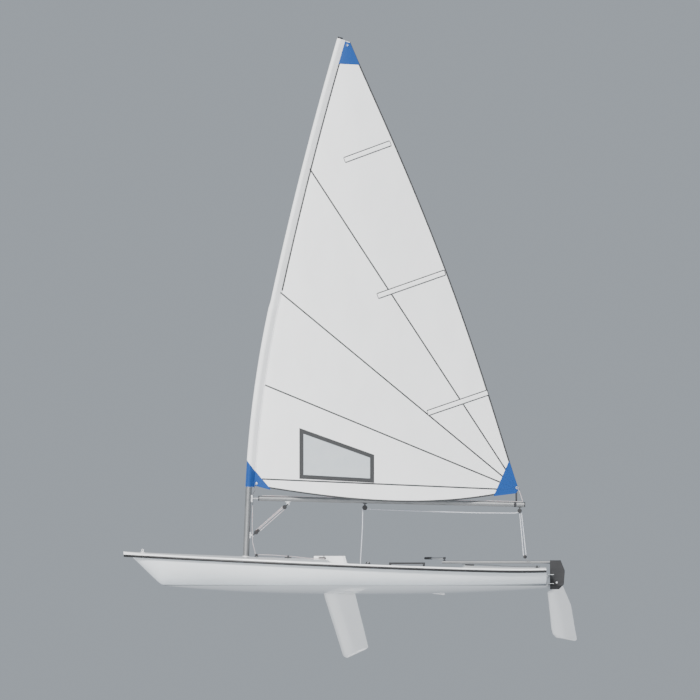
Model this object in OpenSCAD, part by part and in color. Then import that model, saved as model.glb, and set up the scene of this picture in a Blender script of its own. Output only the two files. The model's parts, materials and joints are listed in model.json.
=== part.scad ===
// Single-handed sailing dinghy with a two-piece unstayed mast.
// Frame: +X towards the bow, +Y to port, +Z up. The origin is on the centreline, at the
// waterline, midway between the bow and the transom. All sizes are in millimetres.

/* [Hull] */
// Length overall
hull_l = 4230; // [3800:10:4700]
// Beam over the gunwales
beam = 1390; // [1200:10:1600]
// Beam of the deck at the transom
stern_beam = 1090; // [900:10:1180]
// Draught of the hull at its deepest point
hull_draft = 85; // [60:1:110]
// Thickness of the hull and deck laminate
laminate = 8; // [5:0.5:12]
// Height of the rubbing strake's middle above the waterline at the lowest point of the sheer
sheer_low = 135; // [120:1:170]
// Rise of the sheer from its lowest point to the bow
sheer_rise = 163; // [100:1:220]
// Height of the black rubbing strake
rail_h = 25; // [15:1:35]
// Overhang of the gunwale outside the topsides
gunwale = 30; // [20:1:45]
// Height of the deck's edge above the rubbing strake
lip_h = 16; // [12:1:30]

/* [Cockpit] */
// Where the front wall of the cockpit meets the deck
well_front = -190; // [-220:1:-188]
// Length of the cockpit at deck level
well_l = 1050; // [900:5:1085]
// Width of the cockpit at deck level, at its front
well_w = 600; // [480:5:680]
// Width of the cockpit at deck level, at its aft end
well_aft_w = 500; // [400:5:560]
// Height of the cockpit floor above the waterline
well_floor = 22; // [10:1:40]

/* [Foils] */
// Chord of the daggerboard
board_chord = 305; // [260:1:340]
// Thickness of the daggerboard
board_t = 30; // [20:1:36]
// Depth of the daggerboard's tip below the waterline
board_depth = 705; // [550:5:800]
// Rake of the daggerboard and its case, tip aft, in degrees
board_rake = 15; // [8:0.5:18]
// Thickness of the rudder blade
blade_t = 18; // [12:1:24]
// Depth of the rudder blade's tip below the waterline
blade_depth = 555; // [450:5:650]

/* [Mast] */
// Where the mast's axis comes through the deck, forward of midships
mast_x = 890; // [820:5:940]
// Rake of the mast's straight foot, head aft, in degrees
mast_rake = 2.26; // [0:0.01:3]
// Outside diameter of the lower mast
mast_d = 63.5; // [55:0.5:70]
// Outside diameter of the upper mast and of the boom
topmast_d = 50.8; // [42:0.2:54]
// Wall of every spar tube
spar_wall = 2.5; // [2:0.1:4]
// Height at which the mast's straight foot ends and its bend starts
bend_z = 900; // [890:1:930]
// Radius of the bend in the lower mast
bend_r1 = 11000; // [10000:100:13500]
// Radius of the bend in the upper mast
bend_r2 = 37400; // [33000:100:44000]
// Slope of the mast at the joint of its two halves, in degrees
bend_a1 = 12.01; // [11:0.01:12.4]
// Slope of the mast at its head, in degrees
bend_a2 = 16.3; // [15.6:0.01:16.9]

/* [Boom] */
// Height of the boom's axis at its front end
boom_z = 871; // [860:1:885]
// Distance from the mast's axis to the boom's front end
boom_gap = 110; // [95:1:130]
// Length of the boom
boom_l = 2650; // [2400:10:2750]
// Slope of the boom, aft end down, in degrees
boom_slope = 1.34; // [0:0.01:1.6]

/* [Sail] */
// Thickness of the cloth panel
cloth_t = 3; // [2:0.5:5]
// Height of the tack
tack_z = 985; // [975:1:1010]
// Height of the clew
clew_z = 955; // [930:1:975]
// Distance of the clew aft of midships
clew_aft = 1840; // [1700:10:1860]
// Distance from the mast's axis aft to the seam of the luff sleeve
sleeve_back = 54; // [45:1:75]
// Round of the leech outside a straight line
leech_round = 100; // [0:5:140]
// Drop of the foot below a straight line
foot_round = 136; // [60:2:150]
// Depth of the belly, as a share of the chord
camber = 0.055; // [0.04:0.005:0.08]

/* [Steering] */
// Distance of the rudder's hinge line behind the transom
hinge_gap = 22; // [18:1:30]
// Diameter of the rudder pins
pintle_d = 9.4; // [8:0.1:12]
// Length of the tiller forward of the rudder's hinge line
tiller_l = 1065; // [900:5:1080]
// Height of the tiller's middle above the waterline
tiller_z = 233; // [230:1:250]
// Diameter of the tiller
tiller_d = 28; // [22:1:30]
// Length of the tiller extension
extension_l = 930; // [700:10:960]
// Direction of the stowed extension, in degrees forward of square to starboard
extension_stow = 12; // [0:1:30]

/* [Hidden] */

// Finer facets for curved trim; bores and tubes carry over as true cylinders
$fn = 48;

// Gap between two pieces that rest on each other
seat = 0.3;
// Clearance of a moving piece from what it slides or turns in
slide_gap = 5;
turn_gap = 0.5;
pin_gap = 0.1;

bow_x = hull_l / 2;
transom_x = -hull_l / 2;

// ---- Lines of the hull ----
sheer_x = transom_x + 265;
// The sheer flattens out over this length at its lowest point
sheer_flat = 200;
function sheer(x) =
    sheer_low + sheer_rise * pow(norm([x - sheer_x, sheer_flat]) / (bow_x - sheer_x), 1.3);
widest_x = -200;
function half_beam(x) =
    x > widest_x
    ? beam / 2 * pow(max(0, 1 - pow((x - widest_x) / (bow_x - widest_x), 2)), 0.92)
    : beam / 2 - (beam - stern_beam) / 2 * pow((widest_x - x) / (widest_x - transom_x), 2);
hull_nose = bow_x - 70;
function hull_half(x) = max(4, half_beam(x) - gunwale);
function rim_z(x) = sheer(x) + rail_h / 2 - seat;

// The keel line runs from the transom to the foot of the straight raked stem
knuckle_x = bow_x - 380;
deepest_x = -300;
transom_draft = 25;
stem_slope = (rim_z(hull_nose) - 4) / (hull_nose - knuckle_x);
function keel_run(x) =
    x > deepest_x
    ? -hull_draft * (1 - pow((x - deepest_x) / (knuckle_x - deepest_x), 2.5))
    : -hull_draft + (hull_draft - transom_draft)
        * pow((deepest_x - x) / (deepest_x - transom_x), 2.3);
function stem_run(x) = (x - knuckle_x) * stem_slope;
function keel(x) =
    let (a = keel_run(x), b = stem_run(x), soft = 24)
    (a + b + sqrt(pow(a - b, 2) + soft * soft)) / 2 - (x > hull_nose - 60 ? 1 : 0);

// Fullness of a section: near-flat floor and round bilge amidships, V at the bow
function fullness(x) =
    let (u = min(1, max(0, (x - 200) / (hull_nose - 200))))
    3.1 - 1.3 * u * u * (3 - 2 * u);
topside_flare = 0.08;

// One half-ring of a section, port rim to starboard rim, of half-beam b between top and low
section_steps = 22;
function section(x, b, top, low, n) =
    [for (i = [0:section_steps])
        let (a = 90 - 180 * i / section_steps, s = abs(sin(a)), c = abs(cos(a)),
             down = pow(c, 2 / n),
             y = b * pow(s, 2 / n) * (1 - topside_flare * down))
        [x, sign(a) * y, top - (top - low) * down]];
function reversed(list) = [for (i = [len(list) - 1:-1:0]) list[i]];

// Joins rings of equal length into one closed solid; each ring goes out along one skin and
// back along the other, so both ends are closed by strips between the skins
module loft(rings) {
    m = len(rings[0]);
    last = len(rings) - 1;
    half = m / 2;
    points = [for (ring = rings) each ring];
    sides = [for (i = [0:last - 1], j = [0:m - 1])
        let (a = i * m + j, b = i * m + (j + 1) % m, c = b + m, d = a + m)
        each [[a, d, c], [a, c, b]]];
    ends = [for (j = [0:half - 2])
        let (k = m - 1 - j, e = last * m)
        each [[j, j + 1, k - 1], [j, k - 1, k],
              [e + j, e + k - 1, e + j + 1], [e + j, e + k, e + k - 1]]];
    polyhedron(points, concat(sides, ends), convexity = 10);
}

// ---- Deck and cockpit surface ----
recess_front = 20;
recess_ramp = 60;
recess_aft = transom_x + 855;
aft_ramp = 40;
well_aft = well_front - well_l;
well_slope = 15;
well_corner = 70;
function blend_01(u) = min(1, max(0, u));
function mix(a, b, u) = a + (b - a) * u;
function crown(x) =
    x > recess_front
    ? mix(36, 12, (x - recess_front) / (bow_x - recess_front))
        * blend_01((x - recess_front) / recess_ramp)
    : x < recess_aft
    ? mix(24, 14, (recess_aft - x) / (recess_aft - transom_x))
        * blend_01((recess_aft - x) / aft_ramp)
    : 0;
function edge_z(x) = sheer(x) + rail_h / 2 + lip_h;
function deck_z(x, y) = edge_z(x) + crown(x) * (1 - pow(min(1, abs(y) / half_beam(x)), 2.4));
function well_half(x) =
    let (u = blend_01((well_front - x) / well_l),
         from_end = min(well_front - well_slope - x, x - well_aft - well_slope),
         r = well_corner, d = r - blend_01(from_end / r) * r)
    mix(well_w, well_aft_w, u) / 2 - (r - sqrt(max(0, r * r - d * d)));
function in_well(x) = x <= well_front - well_slope + 0.01 && x >= well_aft + well_slope - 0.01;

// Stations of the deck, each [x, shift of its underside]
deck_stations = concat(
    [for (x = [transom_x, transom_x + laminate, transom_x + laminate + 4, transom_x + 120, transom_x + 300,
               transom_x + 480, transom_x + 660, recess_aft - aft_ramp, recess_aft]) [x, 0]],
    [[well_aft, -laminate], [well_aft + well_slope, -laminate]],
    [for (d = [20, 50, 90]) [well_aft + well_slope + d, 0]],
    [for (i = [1:5]) [mix(well_aft + 105, well_front - 105, i / 6), 0]],
    [for (d = [90, 50, 20]) [well_front - well_slope - d, 0]],
    [[well_front - well_slope, laminate], [well_front, laminate]],
    [for (x = [mix(well_front, recess_front, 0.55), recess_front,
               recess_front + recess_ramp]) [x, 0]],
    [for (i = [1:9]) [mix(recess_front + recess_ramp, bow_x - 240, i / 9), 0]],
    [for (d = [165, 105, 60, 30, 12, 4]) [bow_x - d, 0]]);

// Half-widths of the deck's lines at a station, from the centreline to the rounded edge
function deck_lines(x) =
    let (b = half_beam(x), r = min(10, 0.3 * b), w = min(well_half(x), 0.55 * b))
    concat([0, w * 0.5, w - min(well_slope, 0.2 * w), w],
           [for (u = [0.25, 0.5, 0.78]) mix(w, b - r, u)],
           [b - r, b - 0.3 * r, b]);
function deck_point(x, k) =
    let (lines = deck_lines(x), b = half_beam(x), r = min(10, 0.3 * b), y = lines[k],
         round_drop = k == 9 ? r : k == 8 ? 0.3 * r : 0)
    [x, y, in_well(x) && k <= 2 ? well_floor : deck_z(x, y) - round_drop];
function under_point(x, shift, k) =
    let (p = deck_point(x, k), out = k == 2 || k == 3 ? min(laminate, 0.08 * half_beam(x)) : 0)
    [x + shift, k == 0 ? 0 : min(p[1] + out, ledge_in(x) * (0.4 + 0.09 * k)),
     x < transom_x + laminate + 1 ? lip_z(x) + 1 : p[2] - laminate];
function ledge_in(x) = max(0.5 * half_beam(x), hull_half(x) - laminate);
function lip_z(x) = sheer(x) + rail_h / 2;
function mirrored(p) = [p[0], -p[1], p[2]];
function deck_ring(st) =
    let (x = st[0], shift = st[1],
         over = concat([[x, half_beam(x), lip_z(x)]], [for (k = [9:-1:0]) deck_point(x, k)]),
         under = concat([for (c = [[1, 0], [0.99, 0.5], [0.98, 3], [0.965, 6]])
                            [x, ledge_in(x) * c[0], lip_z(x) + c[1]]],
                        [for (k = [6:-1:0]) under_point(x, shift, k)]),
         last = len(over) - 2)
    concat(over, [for (i = [last:-1:0]) mirrored(over[i])],
           [for (p = under) mirrored(p)], [for (i = [last:-1:0]) under[i]]);

// ---- Mast curve ----
mast_r = mast_d / 2;
top_r = topmast_d / 2;
deck_at_mast = deck_z(mast_x, 0);
function foot_x(z) = mast_x - (z - deck_at_mast) * tan(mast_rake);
bend_x = foot_x(bend_z);
// Centres of the two bends, both aft of the mast, and the joint between them
bend_c1 = [bend_x - bend_r1 * cos(mast_rake), bend_z - bend_r1 * sin(mast_rake)];
joint_p = bend_c1 + bend_r1 * [cos(bend_a1), sin(bend_a1)];
bend_c2 = joint_p - bend_r2 * [cos(bend_a1), sin(bend_a1)];
head_p = bend_c2 + bend_r2 * [cos(bend_a2), sin(bend_a2)];
function mast_axis_x(z) =
    z < bend_z ? foot_x(z)
    : z < joint_p[1] ? bend_c1[0] + sqrt(pow(bend_r1, 2) - pow(z - bend_c1[1], 2))
    : bend_c2[0] + sqrt(pow(bend_r2, 2) - pow(z - bend_c2[1], 2));
function mast_slope(z) =
    z < bend_z ? mast_rake
    : z < joint_p[1] ? asin((z - bend_c1[1]) / bend_r1)
    : asin((z - bend_c2[1]) / bend_r2);

// Turns local Z onto the mast's foot axis, from the point where it meets the deck
module on_mast_foot() {
    translate([mast_x, 0, deck_at_mast]) rotate([0, -mast_rake, 0]) children();
}
// Sweeps a 2D section around a bend; the section's +X points forward, away from the centre
module bend(centre, radius, from, to) {
    translate([centre[0], 0, centre[1]]) rotate([90, 0, 0])
        rotate_extrude(angle = to - from, start = from, $fn = 180)
            translate([radius, 0]) children();
}
// Angle in degrees of an arc of this length
function arc_angle(l, radius) = l / radius * 180 / PI;
module tube(l, r, wall) {
    difference() {
        cylinder(h = l, r = r);
        translate([0, 0, -1]) cylinder(h = l + 2, r = r - wall);
    }
}

// ---- Board case and board ----
foot_board_x = -45;
module on_board() {
    translate([foot_board_x, 0, -hull_draft]) rotate([0, board_rake, 0]) children();
}
module slot_outline(chord, t) {
    square([chord - t, t], center = true);
    for (s = [-1, 1]) translate([s * (chord - t) / 2, 0]) circle(d = t);
}
case_wall = 5;
case_chord = board_chord + 2 * slide_gap;
case_t = board_t + 2 * slide_gap;
module case_prism(grow, low, high) {
    on_board() translate([0, 0, low]) linear_extrude(high - low)
        slot_outline(case_chord + 2 * grow, case_t + 2 * grow);
}
case_proud = 2;
// Top of the case, which follows the deck down its step
function case_top(x) = deck_z(x, 0) + case_proud;

// ---- Hull, deck and rail ----
hull_stations = concat(
    [for (i = [0:20]) mix(transom_x + laminate, -300, i / 20)],
    [for (i = [1:8]) mix(-300, 1300, i / 8)],
    [for (d = [700, 600, 500, 430, 380, 330, 270, 210, 150, 110, 85, 70]) bow_x - d]);
function skin(x) = section(x, hull_half(x), rim_z(x), keel(x), fullness(x));
// The inside stops at a solid stem and a transom as thick as the laminate
solid_stem = bow_x - 260;
function inside(x, at_x, open) =
    let (b = max(1, hull_half(x) - laminate), top = rim_z(x),
         low = open && x < solid_stem ? min(top - 1, keel(x) + laminate) : top - 1)
    section(at_x, b, top, low, fullness(x));
function hull_ring(x) = concat(skin(x), reversed(inside(x, x, true)));
module hull_solid() {
    after = concat(skin(transom_x), reversed(inside(transom_x, transom_x, false)));
    panel = concat(skin(transom_x + laminate / 2),
                   reversed(inside(transom_x, transom_x + laminate, false)));
    loft(concat([after, panel], [for (x = hull_stations) hull_ring(x)]));
}
module hull_shell() color([0.93, 0.935, 0.94]) difference() {
    hull_solid();
    case_prism(case_wall + seat / 2, -60, 120);
    translate([transom_x - 10, drain_y, drain_z]) rotate([0, 90, 0])
        cylinder(h = 40, r = drain_tube_r + seat / 2);
}
module deck() color("white") difference() {
    loft([for (st = deck_stations) deck_ring(st)]);
    case_prism(case_wall + seat / 2, 200, 500);
    on_mast_foot() translate([0, 0, -60]) cylinder(h = 120, r = step_r + seat / 2);
}
// The rail follows the same stations as the topsides inside it and the gunwale outside it
rail_stations = concat([transom_x], hull_stations, [hull_nose + 3]);
function rail_ring(in_x, side) =
    let (x = mix(transom_x, bow_x - 2, (in_x - transom_x) / (hull_nose + 3 - transom_x)),
         top = lip_z(x) - seat, low = top - rail_h + seat, in_top = lip_z(in_x) - seat,
         in_y = in_x > hull_nose ? 1 : hull_half(in_x) + seat,
         out_y = max(2, half_beam(x) - 1.5))
    [[in_x, side * in_y, in_top - rail_h + seat], [x, side * max(1, out_y - 5), low],
     [x, side * out_y, (top + low) / 2], [x, side * max(1, out_y - 4), top],
     [mix(in_x, x, 0.5), side * mix(in_y, max(1, out_y - 4), 0.5), mix(in_top, top, 0.5)],
     [in_x, side * in_y, in_top]];
module rub_rail() color([0.06, 0.06, 0.065]) {
    loft(concat([for (x = rail_stations) rail_ring(x, 1)],
                [for (x = reversed(rail_stations)) rail_ring(x, -1)]));
}

// ---- Mast step ----
step_bore = mast_r + turn_gap;
step_r = step_bore + 4;
step_base_z = keel(mast_x + 12) + laminate + 2;
step_low = (step_base_z - deck_at_mast) / cos(mast_rake);
step_floor = 10;
module mast_step() color("white") on_mast_foot() difference() {
    translate([0, 0, step_low]) cylinder(h = 4 - step_low, r = step_r);
    translate([0, 0, step_low + step_floor]) cylinder(h = 20 - step_low, r = step_bore);
}

// ---- Daggerboard case ----
module daggerboard_case() color("white") intersection() {
    difference() {
        case_prism(case_wall, -60, 500);
        case_prism(0, -70, 510);
    }
    rotate([90, 0, 0]) linear_extrude(2 * case_t, center = true)
        polygon([[-600, keel(-200) + 1], [300, keel(100) + 1], [300, case_top(300)],
                 [recess_front + recess_ramp, case_top(recess_front + recess_ramp)],
                 [recess_front, case_top(recess_front)], [-600, case_top(recess_front) - 8]]);
}

// ---- Deck fittings ----
// Stands children on the deck at x, y, tilted to lie flat on it
tilt_span = 20;
module on_deck(x, y) {
    fore = atan2(deck_z(x + tilt_span, y) - deck_z(x - tilt_span, y), 2 * tilt_span);
    side = atan2(deck_z(x, y + tilt_span) - deck_z(x, y - tilt_span), 2 * tilt_span);
    translate([x, y, deck_z(x, y)]) rotate([side, -fore, 0]) children();
}
eye_x = bow_x - 190;
eye_bore = 6;
eye_t = 8;
eye_rise = 24;
module bow_eye() color("silver") on_deck(eye_x, 0) {
    difference() {
        union() {
            translate([-24, -14, seat]) cube([48, 28, 3]);
            translate([0, eye_t / 2, eye_rise]) rotate([90, 0, 0]) cylinder(h = eye_t, r = 12);
            translate([-12, -eye_t / 2, 1]) cube([24, eye_t, eye_rise - 1]);
        }
        translate([0, 20, eye_rise]) rotate([90, 0, 0]) cylinder(h = 40, r = eye_bore);
        for (s = [-1, 1]) translate([s * 18, 0, -5]) cylinder(h = 20, r = 2.6);
    }
}

plate_x = mast_x - 105;
plate_t = 3;
module control_line_plate() color([0.1, 0.1, 0.11]) on_deck(plate_x, 0) {
    difference() {
        translate([-26, -95, seat]) cube([52, 190, plate_t]);
        for (y = [-86, 86]) translate([0, y, -5]) cylinder(h = 20, r = 2.6);
    }
    for (y = [-60, 0, 60]) translate([0, y, seat + plate_t - 0.01]) {
        difference() {
            union() {
                translate([-14, -11, 0]) cube([28, 22, 14]);
                translate([0, 11, 14]) rotate([90, 0, 0]) cylinder(h = 22, r = 14);
            }
            translate([-20, -7, 5]) cube([40, 14, 40]);
        }
        translate([0, 8, 15]) rotate([90, 0, 0]) cylinder(h = 16, r = 9.4);
    }
}
cleat_base_x = 470;
cleat_base_y = 95;
// A cam cleat: two toothed jaws on a low base, with a guard over them
module cam_cleat() {
    translate([-34, -20, 0]) cube([68, 40, 8]);
    for (s = [-1, 1]) translate([0, s * 13, 7.9]) cylinder(h = 12, r1 = 8, r2 = 7);
    difference() {
        translate([-7, -20, 7.9]) cube([14, 40, 17]);
        translate([-10, -15, 5]) cube([20, 30, 16]);
    }
}
module control_line_cleats() color([0.1, 0.1, 0.11])
    for (s = [-1, 1]) on_deck(cleat_base_x, s * cleat_base_y)
        translate([0, 0, seat + 0.5]) cam_cleat();

side_cleat_x = -330;
side_cleat_y = well_half(-400) + 60;
module side_deck_cleats() color([0.1, 0.1, 0.11])
    for (s = [-1, 1]) on_deck(side_cleat_x, s * side_cleat_y)
        translate([0, 0, seat]) rotate([0, 0, s * 75]) cam_cleat();

// A block: two round cheeks on a sheave, with a head at +Z that its becket hangs from
module block_body(r, t) {
    for (s = [-1, 1]) translate([0, s * (t / 2 - 1.5) + 1.5, 0]) rotate([90, 0, 0])
        cylinder(h = 3, r = r);
    translate([0, t / 2 - 2.5, 0]) rotate([90, 0, 0]) cylinder(h = t - 5, r = r - 5);
    translate([-7, -t / 2 + 1, r - 9]) cube([14, t - 2, 12]);
}
ratchet_x = -270;
ratchet_r = 28;
module mainsheet_ratchet() color([0.1, 0.1, 0.11]) translate([ratchet_x, 0, well_floor]) {
    translate([-30, -20, seat]) cube([60, 40, 4]);
    translate([0, 0, 4]) cylinder(h = 26, r = 11);
    translate([0, 0, 26 + ratchet_r + 5]) rotate([180, 0, 0]) block_body(ratchet_r, 26);
}

fairlead_x = transom_x + 95;
fairlead_y = 405;
module traveller_fairleads() color([0.1, 0.1, 0.11])
    for (s = [-1, 1]) on_deck(fairlead_x, s * fairlead_y) difference() {
        union() {
            translate([-22, -9, seat]) cube([44, 18, 4]);
            translate([-9, -9, 3]) cube([18, 18, 11]);
            translate([-9, 0, 14]) rotate([0, 90, 0]) cylinder(h = 18, r = 9);
        }
        translate([-20, 0, 14]) rotate([0, 90, 0]) cylinder(h = 40, r = 4);
    }
traveller_cleat_x = recess_aft - aft_ramp - 45;
module traveller_cleat() color([0.1, 0.1, 0.11])
    on_deck(traveller_cleat_x, -150) translate([0, 0, seat + 0.4]) difference() {
        union() {
            translate([-45, -11, 0]) cube([90, 22, 5]);
            translate([-45, -6, 4]) cube([90, 12, 9]);
        }
        translate([-60, 0, 13]) rotate([0, 90, 0]) cylinder(h = 120, r = 4);
    }

rail_bar_x = -720;
rail_bar_l = 360;
module grab_rails() color([0.1, 0.1, 0.11])
    for (s = [-1, 1]) {
        x0 = rail_bar_x - rail_bar_l / 2;
        y0 = s * (well_half(rail_bar_x) + 32);
        z0 = deck_z(rail_bar_x, y0) + 26;
        translate([x0, y0, z0]) rotate([0, 90, 0]) cylinder(h = rail_bar_l, r = 9);
        for (x = [x0 + 12, x0 + rail_bar_l - 12])
            translate([x, y0, deck_z(x, y0) + 2 * seat])
                cylinder(h = z0 - deck_z(x, y0) - 1, r = 11);
    }

strap_w = 50;
strap_t = 3;
strap_z = 95;
strap_front = -360;
strap_aft = well_aft + 40;
module hiking_strap() color([0.08, 0.08, 0.1])
    translate([strap_aft, -strap_w / 2, strap_z]) cube([strap_front - strap_aft, strap_w, strap_t]);
module strap_brackets() color("silver") {
    for (x = [strap_front - 16, strap_aft + 16]) translate([x, 0, 0]) {
        translate([-16, -strap_w / 2, well_floor + seat]) cube([32, strap_w, 3]);
        for (s = [-1, 1]) translate([-3, s * (strap_w / 2 - 4) - 3, well_floor + 2])
            cube([6, 6, strap_z - well_floor - 2 - seat]);
        translate([-16, -strap_w / 2 + 1, strap_z - 3 - seat]) cube([32, strap_w - 2, 3]);
    }
}

bailer_x = -1040;
module bailer() color([0.75, 0.76, 0.78]) translate([bailer_x, 0, keel(bailer_x) - seat - 1.2])
    rotate([90, 0, 0]) linear_extrude(64, center = true)
        polygon([[-60, 0], [60, 0], [60, -3], [-40, -16], [-60, -16]]);

// ---- Rudder fittings on the transom ----
hinge_x = transom_x - hinge_gap;
pintle_r = pintle_d / 2;
gudgeon_z = [98, 8];
gudgeon_h = 16;
gudgeon_r = pintle_r + 4.5;
module gudgeons() color("silver")
    for (z = gudgeon_z) translate([0, 0, z]) difference() {
        union() {
            translate([hinge_x, 0, -gudgeon_h / 2]) cylinder(h = gudgeon_h, r = gudgeon_r);
            translate([hinge_x, -5, -gudgeon_h / 2])
                cube([hinge_gap - seat, 10, gudgeon_h]);
            translate([transom_x - 3 - seat, -34, -gudgeon_h / 2]) cube([3, 68, gudgeon_h]);
        }
        translate([hinge_x, 0, -gudgeon_h]) cylinder(h = 2 * gudgeon_h, r = pintle_r + pin_gap);
        for (y = [-25, 25]) translate([transom_x - 20, y, 0]) rotate([0, 90, 0])
            cylinder(h = 30, r = 2.6);
    }

drain_y = -150;
drain_z = 30;
drain_bore = 9.5;
drain_tube_r = 13;
drain_tube = 22;
module transom_drain() color([0.1, 0.1, 0.11])
    translate([transom_x - 3 - seat, drain_y, drain_z]) rotate([0, 90, 0]) difference() {
        union() {
            cylinder(h = 3, r = 20);
            cylinder(h = drain_tube, r = drain_tube_r);
        }
        translate([0, 0, -5]) cylinder(h = drain_tube + 10, r = drain_bore);
    }

// ---- Daggerboard ----
board_top = case_top(recess_front + recess_ramp) + 30;
board_low = (-board_depth + hull_draft) / cos(board_rake);
// Height along the board of its level top, at u along the chord
function board_h(u) = (board_top + hull_draft + u * sin(board_rake)) / cos(board_rake);
tip_chord = board_chord * 0.86;
hand_hole_u = 60;
hand_hole_r = 6;
module daggerboard() color("white") on_board() difference() {
    intersection() {
        translate([0, 0, board_low - 60])
            linear_extrude(board_h(board_chord) - board_low + 60) slot_outline(board_chord, board_t);
        rotate([90, 0, 0]) linear_extrude(2 * board_t, center = true)
            polygon([[-board_chord, board_h(-board_chord)], [board_chord, board_h(board_chord)],
                     [board_chord, 0], [board_chord / 2, 0],
                     [tip_chord / 2 - 6, board_low + 30], [tip_chord / 2 - 40, board_low + 4],
                     [-tip_chord / 2 - 10, board_low + 44], [-board_chord / 2, 0],
                     [-board_chord, 0]]);
    }
    // Hand hole in the head
    translate([hand_hole_u, 50, board_h(hand_hole_u) - 14]) rotate([90, 0, 0])
        cylinder(h = 100, r = hand_hole_r);
}
stop_h = 16;
stop_l = 70;
stop_x = recess_front + recess_ramp + 14;
stop_z = case_top(stop_x + stop_l) + seat;
module daggerboard_stops() color([0.1, 0.1, 0.11])
    for (s = [-1, 1]) translate([stop_x, s * (board_t / 2 + 9 + seat), stop_z])
        translate([0, -9, 0]) cube([stop_l, 18, stop_h]);

// ---- Spars ----
foot_low = step_low + step_floor + seat;
bend_start = (bend_z - deck_at_mast) / cos(mast_rake);
// The bent tubes are this much slimmer than the straight foot, so their faces cross cleanly
bend_step = 0.05;
module lower_mast() color("silver") {
    on_mast_foot() difference() {
        translate([0, 0, foot_low]) cylinder(h = bend_start - foot_low, r = mast_r);
        translate([0, 0, foot_low + 4]) cylinder(h = bend_start - foot_low, r = mast_r - spar_wall);
    }
    bend(bend_c1, bend_r1, mast_rake - 0.01, bend_a1) difference() {
        circle(r = mast_r - bend_step);
        circle(r = mast_r - spar_wall + bend_step);
    }
}
// Angle of the lower bend over which the plug fills it
collar_a = 1.5;
module upper_mast() color("silver") {
    bend(bend_c2, bend_r2, bend_a1, bend_a2) difference() {
        circle(r = top_r);
        circle(r = top_r - spar_wall);
    }
}
// Plastic plug in the lower mast's head that the upper mast stands on
module mast_collar() color([0.1, 0.1, 0.11])
    bend(bend_c1, bend_r1, bend_a1 - collar_a, bend_a1 - arc_angle(seat, bend_r1)) difference() {
        circle(r = mast_r - spar_wall - seat);
        circle(r = top_r - spar_wall - 4);
    }
module mast_cap() color([0.1, 0.1, 0.11])
    translate([head_p[0], 0, head_p[1]]) rotate([0, -bend_a2, 0]) translate([0, 0, seat])
        cylinder(h = 14, r = top_r + 1);

boom_r = top_r;
boom_x = foot_x(boom_z) - boom_gap;
// Turns local Z onto the boom's axis, aft from its front end
module on_boom() {
    translate([boom_x, 0, boom_z]) rotate([0, -90 - boom_slope, 0]) children();
}
function boom_axis_z(x) = boom_z - (boom_x - x) * tan(boom_slope);
module boom() color("silver") on_boom() tube(boom_l, boom_r, spar_wall);
module boom_plugs() color([0.1, 0.1, 0.11]) on_boom() {
    translate([0, 0, -10]) cylinder(h = 10 - seat, r = boom_r);
    translate([0, 0, -5]) cylinder(h = 45, r = boom_r - spar_wall - seat);
    translate([0, 0, boom_l + seat]) cylinder(h = 10, r = boom_r);
    translate([0, 0, boom_l - 40]) cylinder(h = 45, r = boom_r - spar_wall - seat);
}
// Saddle on the mast's aft face with a pin that the boom's front plug sits on
neck_x = foot_x(boom_z);
module gooseneck() color("silver") {
    translate([neck_x, 0, boom_z]) rotate([0, -mast_rake, 0]) difference() {
        translate([-mast_r - 12, -17, -35]) cube([26, 34, 70]);
        translate([0, 0, -60]) cylinder(h = 120, r = mast_r + seat);
    }
    on_boom() translate([0, 0, -boom_gap + mast_r + 8])
        cylinder(h = boom_gap - mast_r - 18 - seat, r = 8);
}
tang_z = 505;
// Distance from the mast's skin to the pin that the vang's lower block hangs on
tang_reach = 28;
tang_x = foot_x(tang_z);
module vang_tang() color("silver") translate([tang_x, 0, tang_z]) rotate([0, -mast_rake, 0])
    difference() {
        union() {
            translate([-mast_r - 6, -14, -32]) cube([20, 28, 64]);
            translate([-mast_r - 36, -3, -10]) cube([36, 6, 20]);
        }
        translate([0, 0, -60]) cylinder(h = 120, r = mast_r + seat);
        translate([-mast_r - tang_reach, 20, 0]) rotate([90, 0, 0]) cylinder(h = 40, r = 4);
    }
key_x = 470;
key_z = boom_axis_z(key_x);
// Distance from the boom's skin down to the pin that the vang's upper block hangs on
key_reach = 26;
module vang_key() color("silver") on_boom_at(key_x) {
    difference() {
        translate([-30, -10, -boom_r - 4]) cube([60, 20, 14]);
        rotate([0, 90, 0]) cylinder(h = 200, r = boom_r + seat, center = true);
    }
    translate([0, 0, -boom_r]) difference() {
        translate([-14, -3, -key_reach - 9]) cube([28, 6, key_reach + 8]);
        translate([0, 20, -key_reach]) rotate([90, 0, 0]) cylinder(h = 40, r = 4);
    }
}
// Places children at the boom's axis above x, with local X along the boom
module on_boom_at(x) {
    translate([x, 0, boom_axis_z(x)]) rotate([0, -boom_slope, 0]) children();
}
// The vang's line of pull, from the mast tang up to the boom key
vang_low = [tang_x, tang_z] - (mast_r + tang_reach) * [cos(mast_rake), sin(mast_rake)];
vang_high = [key_x + (boom_r + key_reach) * sin(boom_slope), key_z - boom_r - key_reach];
vang_pull = atan2(vang_high[0] - vang_low[0], vang_high[1] - vang_low[1]);
module on_vang(p, up) {
    translate([p[0], 0, p[1]]) rotate([0, vang_pull + (up ? 180 : 0), 0]) children();
}
module shackled_block(r, t) {
    for (s = [-1, 1]) translate([-6, s * 5.5 - 1.5, -8]) cube([12, 3, 32]);
    translate([0, 7, 0]) rotate([90, 0, 0]) cylinder(h = 14, r = 3.6);
    translate([-8, -t / 2 + 1, 20]) cube([16, t - 2, 12]);
    translate([0, 0, 22 + r]) rotate([180, 0, 0]) block_body(r, t);
}
module vang_lower_block() color([0.1, 0.1, 0.11]) on_vang(vang_low, false) {
    shackled_block(22, 30);
    translate([-16, -19, 58]) cube([32, 38, 26]);
}
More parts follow.
